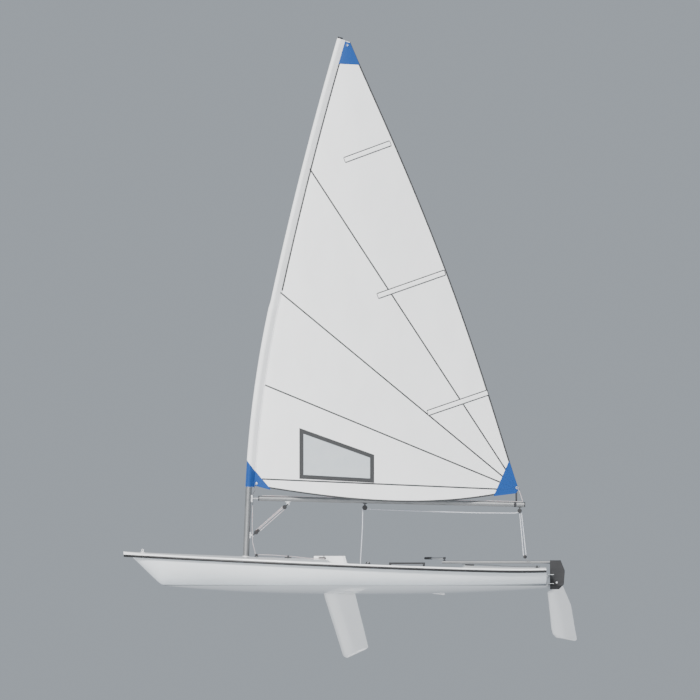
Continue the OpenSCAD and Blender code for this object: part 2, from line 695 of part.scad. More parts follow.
module vang_upper_block() color([0.1, 0.1, 0.11]) on_vang(vang_high, true)
    shackled_block(22, 26);

mid_block_x = -300;
end_block_x = boom_x - boom_l + 45;
// A strap eye under the boom with a block hanging in it
module hanging_block(x, r, t) on_boom_at(x) {
    difference() {
        translate([-22, -9, -boom_r - 4]) cube([44, 18, 12]);
        rotate([0, 90, 0]) cylinder(h = 200, r = boom_r + seat, center = true);
    }
    translate([-6, -t / 2 + 1, -boom_r - 22]) cube([12, t - 2, 20]);
    translate([0, 0, -boom_r - 16 - r]) block_body(r, t);
}
module boom_middle_block() color([0.1, 0.1, 0.11]) hanging_block(mid_block_x, 26, 22);
module boom_end_block() color([0.1, 0.1, 0.11]) hanging_block(end_block_x, 22, 20);
module outhaul_cleat() color([0.1, 0.1, 0.11]) on_boom_at(boom_x - 420)
    difference() {
        union() {
            translate([-60, -boom_r - 12, -9]) cube([120, 20, 18]);
            translate([-75, -boom_r - 18, -6]) cube([150, 7, 12]);
        }
        rotate([0, 90, 0]) cylinder(h = 300, r = boom_r + seat, center = true);
    }

// ---- Sail ----
sleeve_gap = 0.8;
sleeve_cloth = 1.6;
// Section of the sleeve around a spar of radius r: a round nose and a tail that ends at the seam
module sleeve_section(r) {
    nose = r + sleeve_gap + sleeve_cloth;
    difference() {
        union() {
            circle(r = nose);
            polygon([[0, nose - 0.4], [-sleeve_back, cloth_t / 2],
                     [-sleeve_back, -cloth_t / 2], [0, 0.4 - nose]]);
        }
        circle(r = r + sleeve_gap);
    }
}
tack_a = asin((tack_z - bend_c1[1]) / bend_r1);
module luff_sleeve() color("white") {
    bend(bend_c1, bend_r1, tack_a, bend_a1) sleeve_section(mast_r);
    bend(bend_c2, bend_r2, bend_a1 + arc_angle(seat, bend_r2), bend_a2) sleeve_section(top_r);
}
head_z = head_p[1];
function sleeve_tail(z) =
    [mast_axis_x(z) - sleeve_back * cos(mast_slope(z)), z - sleeve_back * sin(mast_slope(z))];
head_w = 62;
head_low = 40;
head_aft = mast_axis_x(head_z - head_low) - sleeve_back - head_w;
function leech_point(v) =
    let (z = mix(clew_z, head_z - head_low, v), t = 1 - v)
    [mix(-clew_aft, head_aft, v) - leech_round * pow(4 * t * (1 - t), 1.3), z];
function luff_point(v) = sleeve_tail(mix(tack_z + 14, head_z - 6, v)) - [2 * seat, 0];
// Point of the sail at s from luff to leech and v from foot to head
function sail_xz(s, v) =
    mix(luff_point(v), leech_point(v), s)
    - [0, foot_round * 4 * s * (1 - s) * (0.75 + 0.5 * s) * pow(1 - v, 4)];
function belly(s, v) =
    let (chord = norm(luff_point(v) - leech_point(v)), full = min(1, 0.35 + 3 * (1 - v)))
    camber * chord * full * sin(180 * pow(s, 0.8));
sail_cols = 18;
sail_rows = 20;
// The belly stands to port, clear of the boom
function sail_skin(s, v, off) = let (p = sail_xz(s, v)) [p[0], belly(s, v) + off, p[1]];
module sail_sheet() {
    loft([for (j = [0:sail_rows]) let (v = j / sail_rows)
        concat([for (i = [0:sail_cols]) sail_skin(i / sail_cols, v, cloth_t / 2)],
               [for (i = [sail_cols:-1:0]) sail_skin(i / sail_cols, v, -cloth_t / 2)])]);
}
// Prism through the sail over an outline given in X and Z
module through_sail(outline, inset = 0) {
    translate([0, 400, 0]) rotate([90, 0, 0]) linear_extrude(600) polygon(shrunk(outline, inset));
}
// Moves each corner of a convex outline towards its middle
function shrunk(outline, inset) =
    let (n = len(outline), mid = [for (p = outline) 1] * outline / n)
    [for (p = outline) p - inset * (p - mid) / norm(p - mid)];
luff_at = function (z) sleeve_tail(z)[0];
window_outline = [[335, 1545], [-370, 1292], [-370, 1050], [335, 1088]];
tack_outline = [[luff_at(1250) + 20, 1250], [luff_at(990) + 20, 930], [640, 900], [640, 955]];
clew_outline = [[-1700, 1290], [-1580, 860], [-1950, 860], [-1950, 1290]];
head_outline = [[-200, 5600], [100, 5600], [100, 5226], [-28, 5226], [-260, 5200]];
module sail_panel() color("white") difference() {
    sail_sheet();
    through_sail(window_outline);
    through_sail(tack_outline);
    through_sail(clew_outline);
    through_sail(head_outline);
}
module sail_window() color([0.8, 0.9, 0.95, 0.4]) intersection() {
    sail_sheet();
    through_sail(window_outline, 0.5);
}
module corner_patches() color([0, 0.4, 0.7]) {
    for (outline = [tack_outline, clew_outline, head_outline]) intersection() {
        sail_sheet();
        through_sail(outline, 0.5);
    }
}
batten_w = 50;
batten_t = 3;
// Each batten runs from an inner point to the leech: [inner x, inner z, outer x, outer z]
battens = [[-98, 4255, -548, 4421], [-430, 2895, -1090, 3127], [-930, 1725, -1515, 1925]];
function camber_at(x, z) =
    let (v = (z - 0.5 * (tack_z + clew_z)) / (head_z - 0.5 * (tack_z + clew_z)),
         luff = luff_point(v)[0], leech = leech_point(v)[0])
    belly(blend_01((luff - x) / (luff - leech)), v);
module batten_pockets() color("white") for (b = battens) {
    from = [b[0], b[1]];
    to = [b[2], b[3]];
    side = [-(to - from)[1], (to - from)[0]] / norm(to - from) * batten_w / 2;
    loft([for (i = [0:6]) let (c = mix(from, to, i / 6), p = c + side, q = c - side,
            lift = cloth_t / 2 - 0.1, y = camber_at(c[0], c[1]) + lift,
            yp = camber_at(p[0], p[1]) + lift, yq = camber_at(q[0], q[1]) + lift)
        [[p[0], yp, p[1]], [c[0], y, c[1]], [q[0], yq, q[1]],
         [q[0], yq + batten_t, q[1]], [c[0], y + batten_t, c[1]], [p[0], yp + batten_t, p[1]]]]);
}
strap_boom_x = -clew_aft + 38;
module clew_strap() color([0.1, 0.1, 0.11]) {
    on_boom_at(strap_boom_x) rotate([0, 90, 0]) difference() {
        cylinder(h = 24, r = boom_r + seat + 2, center = true);
        cylinder(h = 40, r = boom_r + seat, center = true);
    }
    // The strap's upper end is rove through the eye in the sail's clew
    translate([strap_boom_x - 10, 0, boom_axis_z(strap_boom_x) + boom_r + 1])
        cube([20, 5, clew_z + 24 - boom_axis_z(strap_boom_x) - boom_r]);
}

// ---- Rudder, tiller and extension ----
cheek_gap = blade_t / 2 + 1;
cheek_t = 5;
bolt_x = transom_x - 102;
bolt_z = 30;
bolt_r = 5;
head_top = tiller_z + tiller_d / 2 + 6;
head_front = hinge_x - 12;
head_aft_x = hinge_x - 162;
head_outline_pts = [[head_front, -38], [head_front, head_top], [head_aft_x + 42, head_top],
                    [head_aft_x, 150], [head_aft_x + 10, 10], [head_aft_x + 60, -38]];
module plate_xz(points, y0, y1) {
    translate([0, y1, 0]) rotate([90, 0, 0]) linear_extrude(y1 - y0) polygon(points);
}
socket_floor = tiller_z - tiller_d / 2 - 8;
module rudder_head() color([0.1, 0.1, 0.11]) difference() {
    union() {
        plate_xz(head_outline_pts, cheek_gap, cheek_gap + cheek_t);
        plate_xz(head_outline_pts, -cheek_gap - cheek_t, -cheek_gap);
        translate([head_front - 14, -cheek_gap - cheek_t, -38])
            cube([14, 2 * (cheek_gap + cheek_t), head_top + 38]);
        translate([head_aft_x + 42, -cheek_gap - cheek_t, socket_floor])
            cube([head_front - head_aft_x - 42, 2 * (cheek_gap + cheek_t), head_top - socket_floor]);
    }
    translate([bolt_x, 60, bolt_z]) rotate([90, 0, 0]) cylinder(h = 120, r = bolt_r + pin_gap);
    translate([hinge_x + 60, 0, tiller_z]) rotate([0, -90, 0])
        cylinder(h = 300, r = tiller_d / 2 + seat);
}
pintle_drop = 34;
module rudder_pintles() color("silver") for (z = gudgeon_z) {
    top = z + gudgeon_h / 2 + seat;
    translate([hinge_x, 0, z - pintle_drop + gudgeon_h / 2]) cylinder(h = pintle_drop + 6, r = pintle_r);
    translate([head_front + seat, -8, top]) cube([hinge_x - head_front + 3, 16, 6]);
    for (s = [-1, 1]) translate([head_front - 40, s * (cheek_gap + cheek_t + seat + 1.5) - 1.5, top])
        cube([40 + seat + 3, 3, 6]);
    translate([head_front + seat, -cheek_gap - cheek_t - seat - 3, top])
        cube([3, 2 * (cheek_gap + cheek_t + seat + 3), 6]);
}
module rudder_bolt() color("silver") translate([bolt_x, 0, bolt_z]) rotate([90, 0, 0]) {
    cylinder(h = 2 * (cheek_gap + cheek_t) + 2, r = bolt_r, center = true);
    for (s = [0, 1]) mirror([0, 0, s]) translate([0, 0, cheek_gap + cheek_t + seat])
        cylinder(h = 5, r = 9);
}
tiller_back = hinge_x - 118;
module tiller() color("silver") translate([tiller_back, 0, tiller_z]) rotate([0, 90, 0])
    tube(tiller_l + hinge_x - tiller_back, tiller_d / 2, 2.5);

blade_top_r = 48;
blade_points = [[bolt_x + blade_top_r, bolt_z], [bolt_x + blade_top_r, -46],
                [transom_x - 9, -60], [transom_x - 46, -0.76 * blade_depth],
                [transom_x - 60, -0.87 * blade_depth], [transom_x - 96, 10 - blade_depth * 0.955],
                [transom_x - 290, -blade_depth], [transom_x - 304, 12 - blade_depth],
                [transom_x - 245, -195], [bolt_x - blade_top_r, bolt_z]];
module rudder_blade() color("white") difference() {
    union() {
        plate_xz(blade_points, -blade_t / 2, blade_t / 2);
        translate([bolt_x, blade_t / 2, bolt_z]) rotate([90, 0, 0])
            cylinder(h = blade_t, r = blade_top_r);
    }
    translate([bolt_x, 60, bolt_z]) rotate([90, 0, 0]) cylinder(h = 120, r = bolt_r + pin_gap);
}

swivel_x = hinge_x + tiller_l - 22;
swivel_z = tiller_z + tiller_d / 2;
swivel_r = 9;
extension_z = swivel_z + 26;
extension_r = 10;
module extension_joint() color([0.1, 0.1, 0.11]) {
    translate([swivel_x, 0, swivel_z + seat]) cylinder(h = 5, r = 13);
    translate([swivel_x, 0, swivel_z + 2]) cylinder(h = extension_z - swivel_z + 8, r = 4);
}
module on_extension() {
    translate([swivel_x, 0, extension_z]) rotate([0, 90, extension_stow - 90]) children();
}
module tiller_extension() color([0.1, 0.1, 0.11]) difference() {
    union() {
        on_extension() translate([0, 0, -16]) cylinder(h = extension_l + 16, r = extension_r);
        translate([swivel_x, 0, extension_z - extension_r - 2]) cylinder(h = 2 * extension_r + 4, r = 14);
    }
    translate([swivel_x, 0, extension_z - 40]) cylinder(h = 80, r = 4 + pin_gap);
}
module extension_grip() color([0.15, 0.15, 0.16]) on_extension() difference() {
    translate([0, 0, extension_l - 330]) cylinder(h = 315, r = extension_r + 3);
    translate([0, 0, extension_l - 340]) cylinder(h = 400, r = extension_r + seat / 2);
}

hull_shell();
deck();
rub_rail();
mast_step();
daggerboard_case();
bow_eye();
control_line_plate();
control_line_cleats();
mainsheet_ratchet();
side_deck_cleats();
traveller_fairleads();
traveller_cleat();
grab_rails();
hiking_strap();
strap_brackets();
bailer();
gudgeons();
transom_drain();
daggerboard();
daggerboard_stops();
lower_mast();
upper_mast();
mast_collar();
mast_cap();
gooseneck();
vang_tang();
boom();
boom_plugs();
vang_key();
vang_lower_block();
vang_upper_block();
boom_middle_block();
boom_end_block();
outhaul_cleat();
clew_strap();
luff_sleeve();
sail_panel();
sail_window();
batten_pockets();
corner_patches();
rudder_head();
rudder_pintles();
rudder_bolt();
tiller();
rudder_blade();
extension_joint();
tiller_extension();
extension_grip();
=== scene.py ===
"""Looks of a single-handed sailing dinghy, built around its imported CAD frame.

Lengths in the functions below are in millimetres, in the frame of the CAD part, and every mesh is
scaled to metres where it is made.
"""
import json
import math
from math import acos, asin, ceil, copysign, degrees, hypot, pi, radians, sqrt

import bmesh
import bpy
from mathutils import Matrix, Vector


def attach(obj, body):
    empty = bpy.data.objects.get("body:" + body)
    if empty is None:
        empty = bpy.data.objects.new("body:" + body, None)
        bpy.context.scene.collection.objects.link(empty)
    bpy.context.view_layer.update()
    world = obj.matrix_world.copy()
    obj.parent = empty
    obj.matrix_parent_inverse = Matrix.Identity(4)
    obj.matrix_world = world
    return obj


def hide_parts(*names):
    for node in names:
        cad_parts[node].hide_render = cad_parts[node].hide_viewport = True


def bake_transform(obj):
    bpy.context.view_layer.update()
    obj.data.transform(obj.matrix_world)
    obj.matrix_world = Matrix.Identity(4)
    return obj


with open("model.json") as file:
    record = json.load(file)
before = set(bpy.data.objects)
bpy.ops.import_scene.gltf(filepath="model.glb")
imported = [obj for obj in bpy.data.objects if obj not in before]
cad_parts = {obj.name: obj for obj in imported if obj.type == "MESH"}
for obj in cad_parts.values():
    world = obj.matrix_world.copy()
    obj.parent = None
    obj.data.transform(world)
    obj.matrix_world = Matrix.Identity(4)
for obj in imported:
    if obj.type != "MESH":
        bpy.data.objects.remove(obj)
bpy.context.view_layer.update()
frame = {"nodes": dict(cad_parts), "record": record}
nodes = frame["nodes"]
MM = 0.001


def mix(a, b, u):
    return a + (b - a) * u


def clamp(u):
    return min(1.0, max(0.0, u))


def smooth(u):
    u = clamp(u)
    return u * u * (3 - 2 * u)


def tan(d):
    return math.tan(radians(d))


def sin(d):
    return math.sin(radians(d))


def cos(d):
    return math.cos(radians(d))


# ---- Materials ----
class Field:
    """A node's output, so that node maths reads as plain arithmetic."""

    def __init__(self, tree, socket):
        self.tree, self.socket = tree, socket

    def math(self, operation, other=0.0):
        node = self.tree.add("ShaderNodeMath", operation=operation)
        self.tree.put(self, node.inputs[0])
        self.tree.put(other, node.inputs[1])
        return Field(self.tree, node.outputs[0])

    def __add__(self, other):
        return self.math("ADD", other)

    def __sub__(self, other):
        return self.math("SUBTRACT", other)

    def __mul__(self, other):
        return self.math("MULTIPLY", other)

    def __gt__(self, other):
        return self.math("GREATER_THAN", other)

    def __lt__(self, other):
        return self.math("LESS_THAN", other)

    def __abs__(self):
        return self.math("ABSOLUTE")

    def sine(self):
        return self.math("SINE")


class Tree:
    """Short calls that add nodes to one material."""

    def __init__(self, name):
        self.mat = bpy.data.materials.new(name)
        self.mat.use_nodes = True
        self.nt = self.mat.node_tree
        self.bsdf = next(n for n in self.nt.nodes if n.type == "BSDF_PRINCIPLED")
        self.place = self.add("ShaderNodeTexCoord").outputs["Object"]

    def add(self, kind, **values):
        node = self.nt.nodes.new(kind)
        for key, value in values.items():
            setattr(node, key, value)
        return node

    def put(self, source, target):
        if isinstance(source, Field):
            self.nt.links.new(source.socket, target)
        else:
            target.default_value = source

    def fill(self, node, **values):
        """Fills a node's inputs by name and gives its first output."""
        for key, value in values.items():
            self.put(value, node.inputs[key.replace("_", " ")])
        return Field(self, node.outputs[0])

    def axes(self):
        split = self.add("ShaderNodeSeparateXYZ")
        self.nt.links.new(self.place, split.inputs[0])
        return [Field(self, out) for out in split.outputs]

    def noise(self, scale, detail=3.0, rough=0.5, stretch=(1, 1, 1)):
        place = self.fill(self.add("ShaderNodeMapping"), Vector=Field(self, self.place), Scale=stretch)
        return self.fill(self.add("ShaderNodeTexNoise"), Vector=place, Scale=scale, Detail=detail,
                         Roughness=rough)

    def ramp(self, source, stops):
        node = self.add("ShaderNodeValToRGB")
        elements = node.color_ramp.elements
        for k, (at, colour) in ((0, stops[0]), (1, stops[-1])):
            elements[k].position = at
            elements[k].color = (*colour, 1)
        for at, colour in stops[1:-1]:
            elements.new(at).color = (*colour, 1)
        return self.fill(node, Fac=source)

    def tones(self, source, colour, *stops):
        """A ramp of shades of one colour: stops are (place, factor)."""
        return self.ramp(source, [(at, shade(colour, factor)) for at, factor in stops])

    def band(self, source, low, high):
        return self.fill(self.add("ShaderNodeMapRange"), Value=source, To_Min=low, To_Max=high)

    def bump(self, height, distance, strength=1.0):
        self.put(self.fill(self.add("ShaderNodeBump"), Height=height, Distance=distance, Strength=strength),
                 self.bsdf.inputs["Normal"])

    def finish(self, colour, rough, metal=0.0, coat=0.0, spec=0.5, sheen=0.0):
        self.fill(self.bsdf, Base_Color=colour, Roughness=rough, Metallic=metal, Coat_Weight=coat,
                  Coat_Roughness=0.06, Specular_IOR_Level=spec, Sheen_Weight=sheen)
        return self.mat


def shade(colour, factor):
    return tuple(min(1.0, c * factor) for c in colour)


def gelcoat(name, colour, worn, grip=False):
    """Glossy gelcoat: fairing waves, fine scuffs and, on the deck, moulded grip with painted shade between its
    studs.
    """
    t = Tree(name)
    cloud = t.noise(1.7, 4.0, 0.6)
    scuff = t.noise(38.0, 6.0, 0.7, (0.25, 1.0, 1.0))
    tone = t.tones(cloud, colour, (0.3, 0.965), (0.5, 1), (0.75, 1.02))
    rough = t.band(scuff.math("POWER", 3.0), 0.13, worn)
    height = t.noise(210.0, 2.0, 0.4) * 0.10 + cloud
    if grip:
        x, y, z = t.axes()
        stud = ((x + y) * 520.0).sine() * ((x - y) * 520.0).sine() > 0.30
        from_widest = x + 0.2
        seat = ((abs(y) + from_widest * from_widest * 0.041 < 0.625) * (abs(y) > 0.335)
                * (x > -1.21) * (x < -0.06))
        sole = (z < 0.024) * (z > 0.018) * (abs(y) < 0.20)
        zone = seat.math("MAXIMUM", sole)
        studs = stud * zone
        height = height + studs * 1.1
        rough = rough + zone * 0.22
        # Painted shade: in the grip the colour is darkened between the raised studs, where shade would fall.
        grip_shade_mix = t.add("ShaderNodeMix", data_type="RGBA")
        t.put((zone - studs) * 0.5, grip_shade_mix.inputs["Factor"])
        t.put(tone, grip_shade_mix.inputs["A"])
        grip_shade_mix.inputs["B"].default_value = (*shade(colour, 0.80), 1)
        tone = Field(t, grip_shade_mix.outputs["Result"])
    t.bump(height, 0.0006, 0.55)
    return t.finish(tone, rough, coat=0.5)


def plastic(name, colour, rough=0.42, grain=900.0, depth=0.00012):
    """Moulded plastic with a fine spark-eroded grain and paler rubbed patches."""
    t = Tree(name)
    rub = t.noise(9.0, 5.0, 0.62)
    t.bump(t.noise(grain, 2.0, 0.6), depth, 0.8)
    return t.finish(t.tones(rub, colour, (0.35, 0.85), (0.6, 1), (0.8, 1.7)),
                    t.band(rub, rough - 0.08, rough + 0.12), spec=0.45)


def metal(name, colour, along, rough=0.28):
    """Drawn or brushed metal, its lines running along one axis."""
    t = Tree(name)
    lines = t.noise(900.0, 3.0, 0.7, tuple(0.02 if k == along else 1.0 for k in range(3)))
    haze = t.noise(5.0, 4.0, 0.6)
    t.bump(lines, 0.00004, 0.6)
    return t.finish(t.tones(haze, colour, (0.25, 0.86), (0.55, 1), (0.85, 1.08)),
                    lines * 0.14 + haze * 0.12 + (rough - 0.10), metal=0.88)


def cloth(name, colour, pitch=0.0016, rough=0.62, crease=0.6):
    """Woven cloth: warp and weft, slight creases, and a soft tone that is darker in the crease hollows as
    painted shade.
    """
    t = Tree(name)
    x, _, z = t.axes()
    turns = 2 * pi / pitch
    weave = (x * turns).sine() * (z * turns).sine()
    creases = t.noise(3.2, 5.0, 0.55, (1.0, 1.0, 0.45))
    fine = t.noise(26.0, 4.0, 0.6)
    t.bump(weave * 0.10 + creases * (crease * 6) + fine * 0.25, 0.0010, 0.5)
    # Painted shade: the tone follows the crease field and is darker in its hollows, with a faint trace of the
    # weave.
    tone = t.tones(creases * 0.8 + weave * 0.02, colour, (0.25, 0.955), (0.45, 1), (0.7, 1.02))
    return t.finish(tone, t.band(fine, rough - 0.06, rough + 0.08), spec=0.3, sheen=0.12)


def stitched(name, colour, pitch=0.004):
    """Tape or thread with a visible run of stitches across it."""
    t = Tree(name)
    x, _, z = t.axes()
    run = ((x + z) * (2 * pi / pitch)).sine()
    fibre = t.noise(420.0, 3.0, 0.6)
    t.bump(run, 0.0003, 0.6)
    return t.finish(t.tones(run * 0.22 + fibre, colour, (0.2, 0.72), (0.55, 1), (0.9, 1.3)),
                    t.band(fibre, 0.55, 0.8), spec=0.3, sheen=0.2)


def rope_finish(name, colour, fleck, pitch=0.007):
    """Braided rope: two crossing lays of yarn, with a coloured fleck."""
    t = Tree(name)
    x, y, z = t.axes()
    turns = 2 * pi / pitch
    one, two = ((x + y + z) * turns).sine(), ((x - y + z) * turns).sine()
    fuzz = t.noise(600.0, 3.0, 0.7)
    tone = t.ramp((one + 1.0) * (fuzz * 0.9),
                  [(0.1, shade(colour, 0.62)), (0.45, colour), (0.82, colour), (0.93, fleck)])
    t.bump(one.math("MAXIMUM", two) + fuzz, 0.0005, 0.7)
    return t.finish(tone, t.band(fuzz, 0.7, 0.9), spec=0.2, sheen=0.3)


def webbing(name, colour):
    """Flat woven strap with its edge cords and a herringbone of yarns."""
    t = Tree(name)
    x, y, _ = t.axes()
    ribs = (x * (2 * pi / 0.003)).sine()
    rows = ((abs(y) + x * 0.3) * (2 * pi / 0.006)).sine()
    fuzz = t.noise(500.0, 3.0, 0.6)
    t.bump(ribs + rows, 0.0004, 0.7)
    return t.finish(t.tones(rows * 0.25 + fuzz, colour, (0.2, 0.6), (0.5, 1), (0.95, 1.9)),
                    t.band(fuzz, 0.65, 0.85), spec=0.25, sheen=0.25)


def clear_film(name):
    """Clear window film with faint haze and fold marks."""
    t = Tree(name)
    haze = t.noise(6.0, 4.0, 0.6)
    t.bump(t.noise(14.0, 3.0, 0.5, (0.4, 1.0, 1.6)), 0.0012, 0.35)
    t.bsdf.inputs["Alpha"].default_value = 0.30
    return t.finish(t.ramp(haze, [(0.3, (0.80, 0.88, 0.92)), (0.7, (0.90, 0.95, 0.97))]),
                    t.band(haze, 0.04, 0.14), spec=0.6)


def matt_tube(name, colour):
    """Dark composite tube: a fine wound weave under a satin clear coat."""
    t = Tree(name)
    _, y, z = t.axes()
    wind = ((y + z * 1.6) * 900.0).sine()
    t.bump(wind, 0.00005, 0.5)
    return t.finish(t.tones(wind * 0.3 + t.noise(30.0), colour, (0.2, 0.7), (0.8, 1.8)),
                    t.band(t.noise(60.0), 0.22, 0.36), coat=0.6)


BLACK = (0.022, 0.022, 0.024)
LINE_GREY = (0.040, 0.041, 0.043)
finishes = {
    "gelcoat_white": gelcoat("gelcoat_white", (0.86, 0.865, 0.87), 0.42, grip=True),
    "gelcoat_grey": gelcoat("gelcoat_grey", (0.78, 0.805, 0.82), 0.40),
    "foil_white": gelcoat("foil_white", (0.84, 0.85, 0.855), 0.38),
    "black_trim": plastic("black_trim", (0.014, 0.014, 0.015), 0.50, 500.0, 0.00025),
    "black_plastic": plastic("black_plastic", BLACK),
    "webbing": webbing("webbing", (0.030, 0.030, 0.034)),
    "steel": metal("steel", (0.62, 0.63, 0.64), 0, 0.26),
    "alloy": metal("alloy", (0.27, 0.275, 0.28), 2, 0.46),
    "sailcloth": cloth("sailcloth", (0.90, 0.905, 0.91)),
    "window_film": clear_film("window_film"),
    "blue_cloth": cloth("blue_cloth", (0.0, 0.050, 0.235), 0.0020, 0.55, 0.35),
    "carbon_black": matt_tube("carbon_black", (0.020, 0.020, 0.022)),
    "grip_foam": plastic("grip_foam", (0.035, 0.035, 0.038), 0.75, 700.0, 0.0003),
}
seam_grey = stitched("seam_grey", LINE_GREY)
seam_white = stitched("seam_white", (0.72, 0.73, 0.74))
blue_stitch = stitched("blue_stitch", (0.002, 0.045, 0.20))
sheet_rope = rope_finish("sheet_rope", (0.75, 0.76, 0.77), (0.03, 0.12, 0.45), 0.008)
dark_rope = rope_finish("dark_rope", (0.060, 0.062, 0.068), (0.50, 0.50, 0.52), 0.006)
thin_rope = rope_finish("thin_rope", (0.66, 0.67, 0.69), (0.55, 0.05, 0.04), 0.005)
boom_metal = metal("boom_metal", (0.27, 0.275, 0.28), 0, 0.46)

slot_of = {row["node"]: row["material_slot"] for row in frame["record"]["subparts"]}


# ---- Mesh helpers ----
def linked(name, data):
    obj = bpy.data.objects.new(name, data)
    bpy.context.scene.collection.objects.link(obj)
    return obj


def smoothed(obj, sharp):
    obj.data.shade_smooth()
    obj.data.set_sharp_from_angle(angle=radians(sharp))


def piece(name, points, faces, body, slot, finish=None, sharp=32, stands_for=()):
    """A mesh from points in millimetres, riding on a body, with a finish given or picked by the record slot's
    name.
    """
    mesh = bpy.data.meshes.new(name)
    mesh.from_pydata([tuple(c * MM for c in p) for p in points], [], faces)
    mesh.validate()
    made = bmesh.new()
    made.from_mesh(mesh)
    bmesh.ops.recalc_face_normals(made, faces=made.faces)
    made.to_mesh(mesh)
    made.free()
    obj = linked(name, mesh)
    mesh.materials.append(finish or finishes[slot])
    smoothed(obj, sharp)
    if body:
        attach(obj, body)
    if stands_for:
        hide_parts(*stands_for)
    return obj


def applied(obj):
    """Applies the modifiers of an object to its mesh."""
    bpy.context.view_layer.update()
    graph = bpy.context.evaluated_depsgraph_get()
    mesh = bpy.data.meshes.new_from_object(obj.evaluated_get(graph))
    obj.modifiers.clear()
    obj.data = mesh


def cut(obj, cutters, sharp=32):
    """Cuts solids out of obj, then drops them."""
    for cutter in cutters:
        modifier = obj.modifiers.new("cut", "BOOLEAN")
        modifier.operation = "DIFFERENCE"
        modifier.solver = "EXACT"
        modifier.object = cutter
    applied(obj)
    for cutter in cutters:
        bpy.data.objects.remove(cutter)
    smoothed(obj, sharp)


def mended(obj):
    """Merges doubled points, drops empty faces and points every face outward."""
    made = bmesh.new()
    made.from_mesh(obj.data)
    bmesh.ops.remove_doubles(made, verts=made.verts, dist=0.00002)
    bmesh.ops.dissolve_degenerate(made, edges=made.edges, dist=0.00002)
    bmesh.ops.recalc_face_normals(made, faces=made.faces)
    made.to_mesh(obj.data)
    made.free()


def hole_through(obj, outline, grow=1.25):
    """Cuts a convex hole in a sheet: outline is (point, outward normal) pairs in metres."""
    made = bmesh.new()
    made.from_mesh(obj.data)
    middle = sum((p for p, _ in outline), Vector()) / len(outline)
    reach = max((p - middle).length for p, _ in outline) * grow
    inside = {f for f in made.faces
              if any((v.co - middle).length < reach for v in f.verts)
              or (f.calc_center_median() - middle).length < reach}
    for point, normal in outline:
        geom = [*inside, *{e for f in inside for e in f.edges}, *{v for f in inside for v in f.verts}]
        out = bmesh.ops.bisect_plane(made, geom=geom, plane_co=point, plane_no=normal, dist=1e-7)
        faces = inside | {g for g in out["geom"] if isinstance(g, bmesh.types.BMFace)}
        inside = {f for f in faces if f.is_valid and (f.calc_center_median() - point).dot(normal) < 0}
    bmesh.ops.delete(made, geom=list(inside), context="FACES")
    made.to_mesh(obj.data)
    made.free()


def rings_to_mesh(rings, closed=True, caps=True):
    """Faces that join rings of points, with the first and last filled in."""
    m = len(rings[0])
    points = [p for ring in rings for p in ring]
    faces = []
    for i in range(len(rings) - 1):
        for j in range(m if closed else m - 1):
            a, b = i * m + j, i * m + (j + 1) % m
            faces.append((a, b, b + m, a + m))
    if caps:
        faces.append(tuple(reversed(range(m))))
        faces.append(tuple(range((len(rings) - 1) * m, len(rings) * m)))
    return points, faces


def slab(grid, lift, thick, side=1):
    """Points and faces of a thin closed sheet over a grid, its inner face lifted off in Y."""
    rows, cols = len(grid), len(grid[0])
    points, faces = [], []
    for layer in (lift, lift + thick):
        points += [(p[0], p[1] + side * layer, p[2]) for row in grid for p in row]
    n = rows * cols
    for i in range(rows - 1):
        for j in range(cols - 1):
            a = i * cols + j
            quad = (a, a + 1, a + cols + 1, a + cols)
            faces.append(quad)
            faces.append(tuple(k + n for k in reversed(quad)))
    edge = ([(0, j) for j in range(cols - 1)] + [(i, cols - 1) for i in range(rows - 1)]
            + [(rows - 1, j) for j in range(cols - 1, 0, -1)] + [(i, 0) for i in range(rows - 1, 0, -1)])
    loop = [i * cols + j for i, j in edge]
    for a, b in zip(loop, loop[1:] + loop[:1]):
        faces.append((b, a, a + n, b + n))
    return points, faces


def joined(parts):
    """One list of points and faces from several."""
    points, faces = [], []
    for more_points, more_faces in parts:
        at = len(points)
        points += more_points
        faces += [tuple(k + at for k in f) for f in more_faces]
    return points, faces


def curve_through(points, step):
    """A smooth curve through points, as close points about step apart."""
    pts = [Vector(p) for p in points]
    ends = [pts[0] * 2 - pts[1], *pts, pts[-1] * 2 - pts[-2]]
    out = [pts[0]]
    for i in range(1, len(ends) - 2):
        a, b, c, d = ends[i - 1], ends[i], ends[i + 1], ends[i + 2]
        count = max(2, ceil((c - b).length / step))
        reach = (c - b).length
        t1 = (c - a).normalized() * reach
        t2 = (d - b).normalized() * reach
        for k in range(1, count + 1):
            u = k / count
            h = (2 * u ** 3 - 3 * u ** 2 + 1, u ** 3 - 2 * u ** 2 + u,
                 3 * u ** 2 - 2 * u ** 3, u ** 3 - u ** 2)
            out.append(b * h[0] + t1 * h[1] * 0.5 + c * h[2] + t2 * h[3] * 0.5)
    return out


def tube_mesh(path, radius, sides=10, lay=0.0, shrink_ends=True):
    """A round tube along a path; lay is the depth of its three strands as a share of the radius."""
    tangent = (path[1] - path[0]).normalized()
    normal = tangent.orthogonal().normalized()
    rings, run = [], 0.0
    for i, p in enumerate(path):
        here = (path[min(i + 1, len(path) - 1)] - path[max(i - 1, 0)]).normalized()
        normal = (tangent.rotation_difference(here).to_matrix() @ normal).normalized()
        tangent = here
        other = tangent.cross(normal)
        run += (p - path[max(i - 1, 0)]).length
        at_end = shrink_ends and i in (0, len(path) - 1)
        ring = []
        for j in range(sides):
            a = 2 * pi * j / sides
            r = radius * (1 - lay * (0.5 - 0.5 * math.cos(3 * a - run / radius * 0.75)))
            r *= 0.7 if at_end else 1.0
            ring.append(tuple(p + normal * (r * math.cos(a)) + other * (r * math.sin(a))))
        rings.append(ring)
    return rings_to_mesh(rings)


def rope(name, runs, radius, body, finish, blend=None):
    """Taut rope along one or more runs of points."""
    parts = [tube_mesh(curve_through(run, radius * 1.6), radius, 12, 0.13) for run in runs]
    obj = piece(name, *joined(parts), body, "webbing", finish, 60)
    if blend:
        [[c * MM for c in p] for p in blend]
        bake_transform(obj)


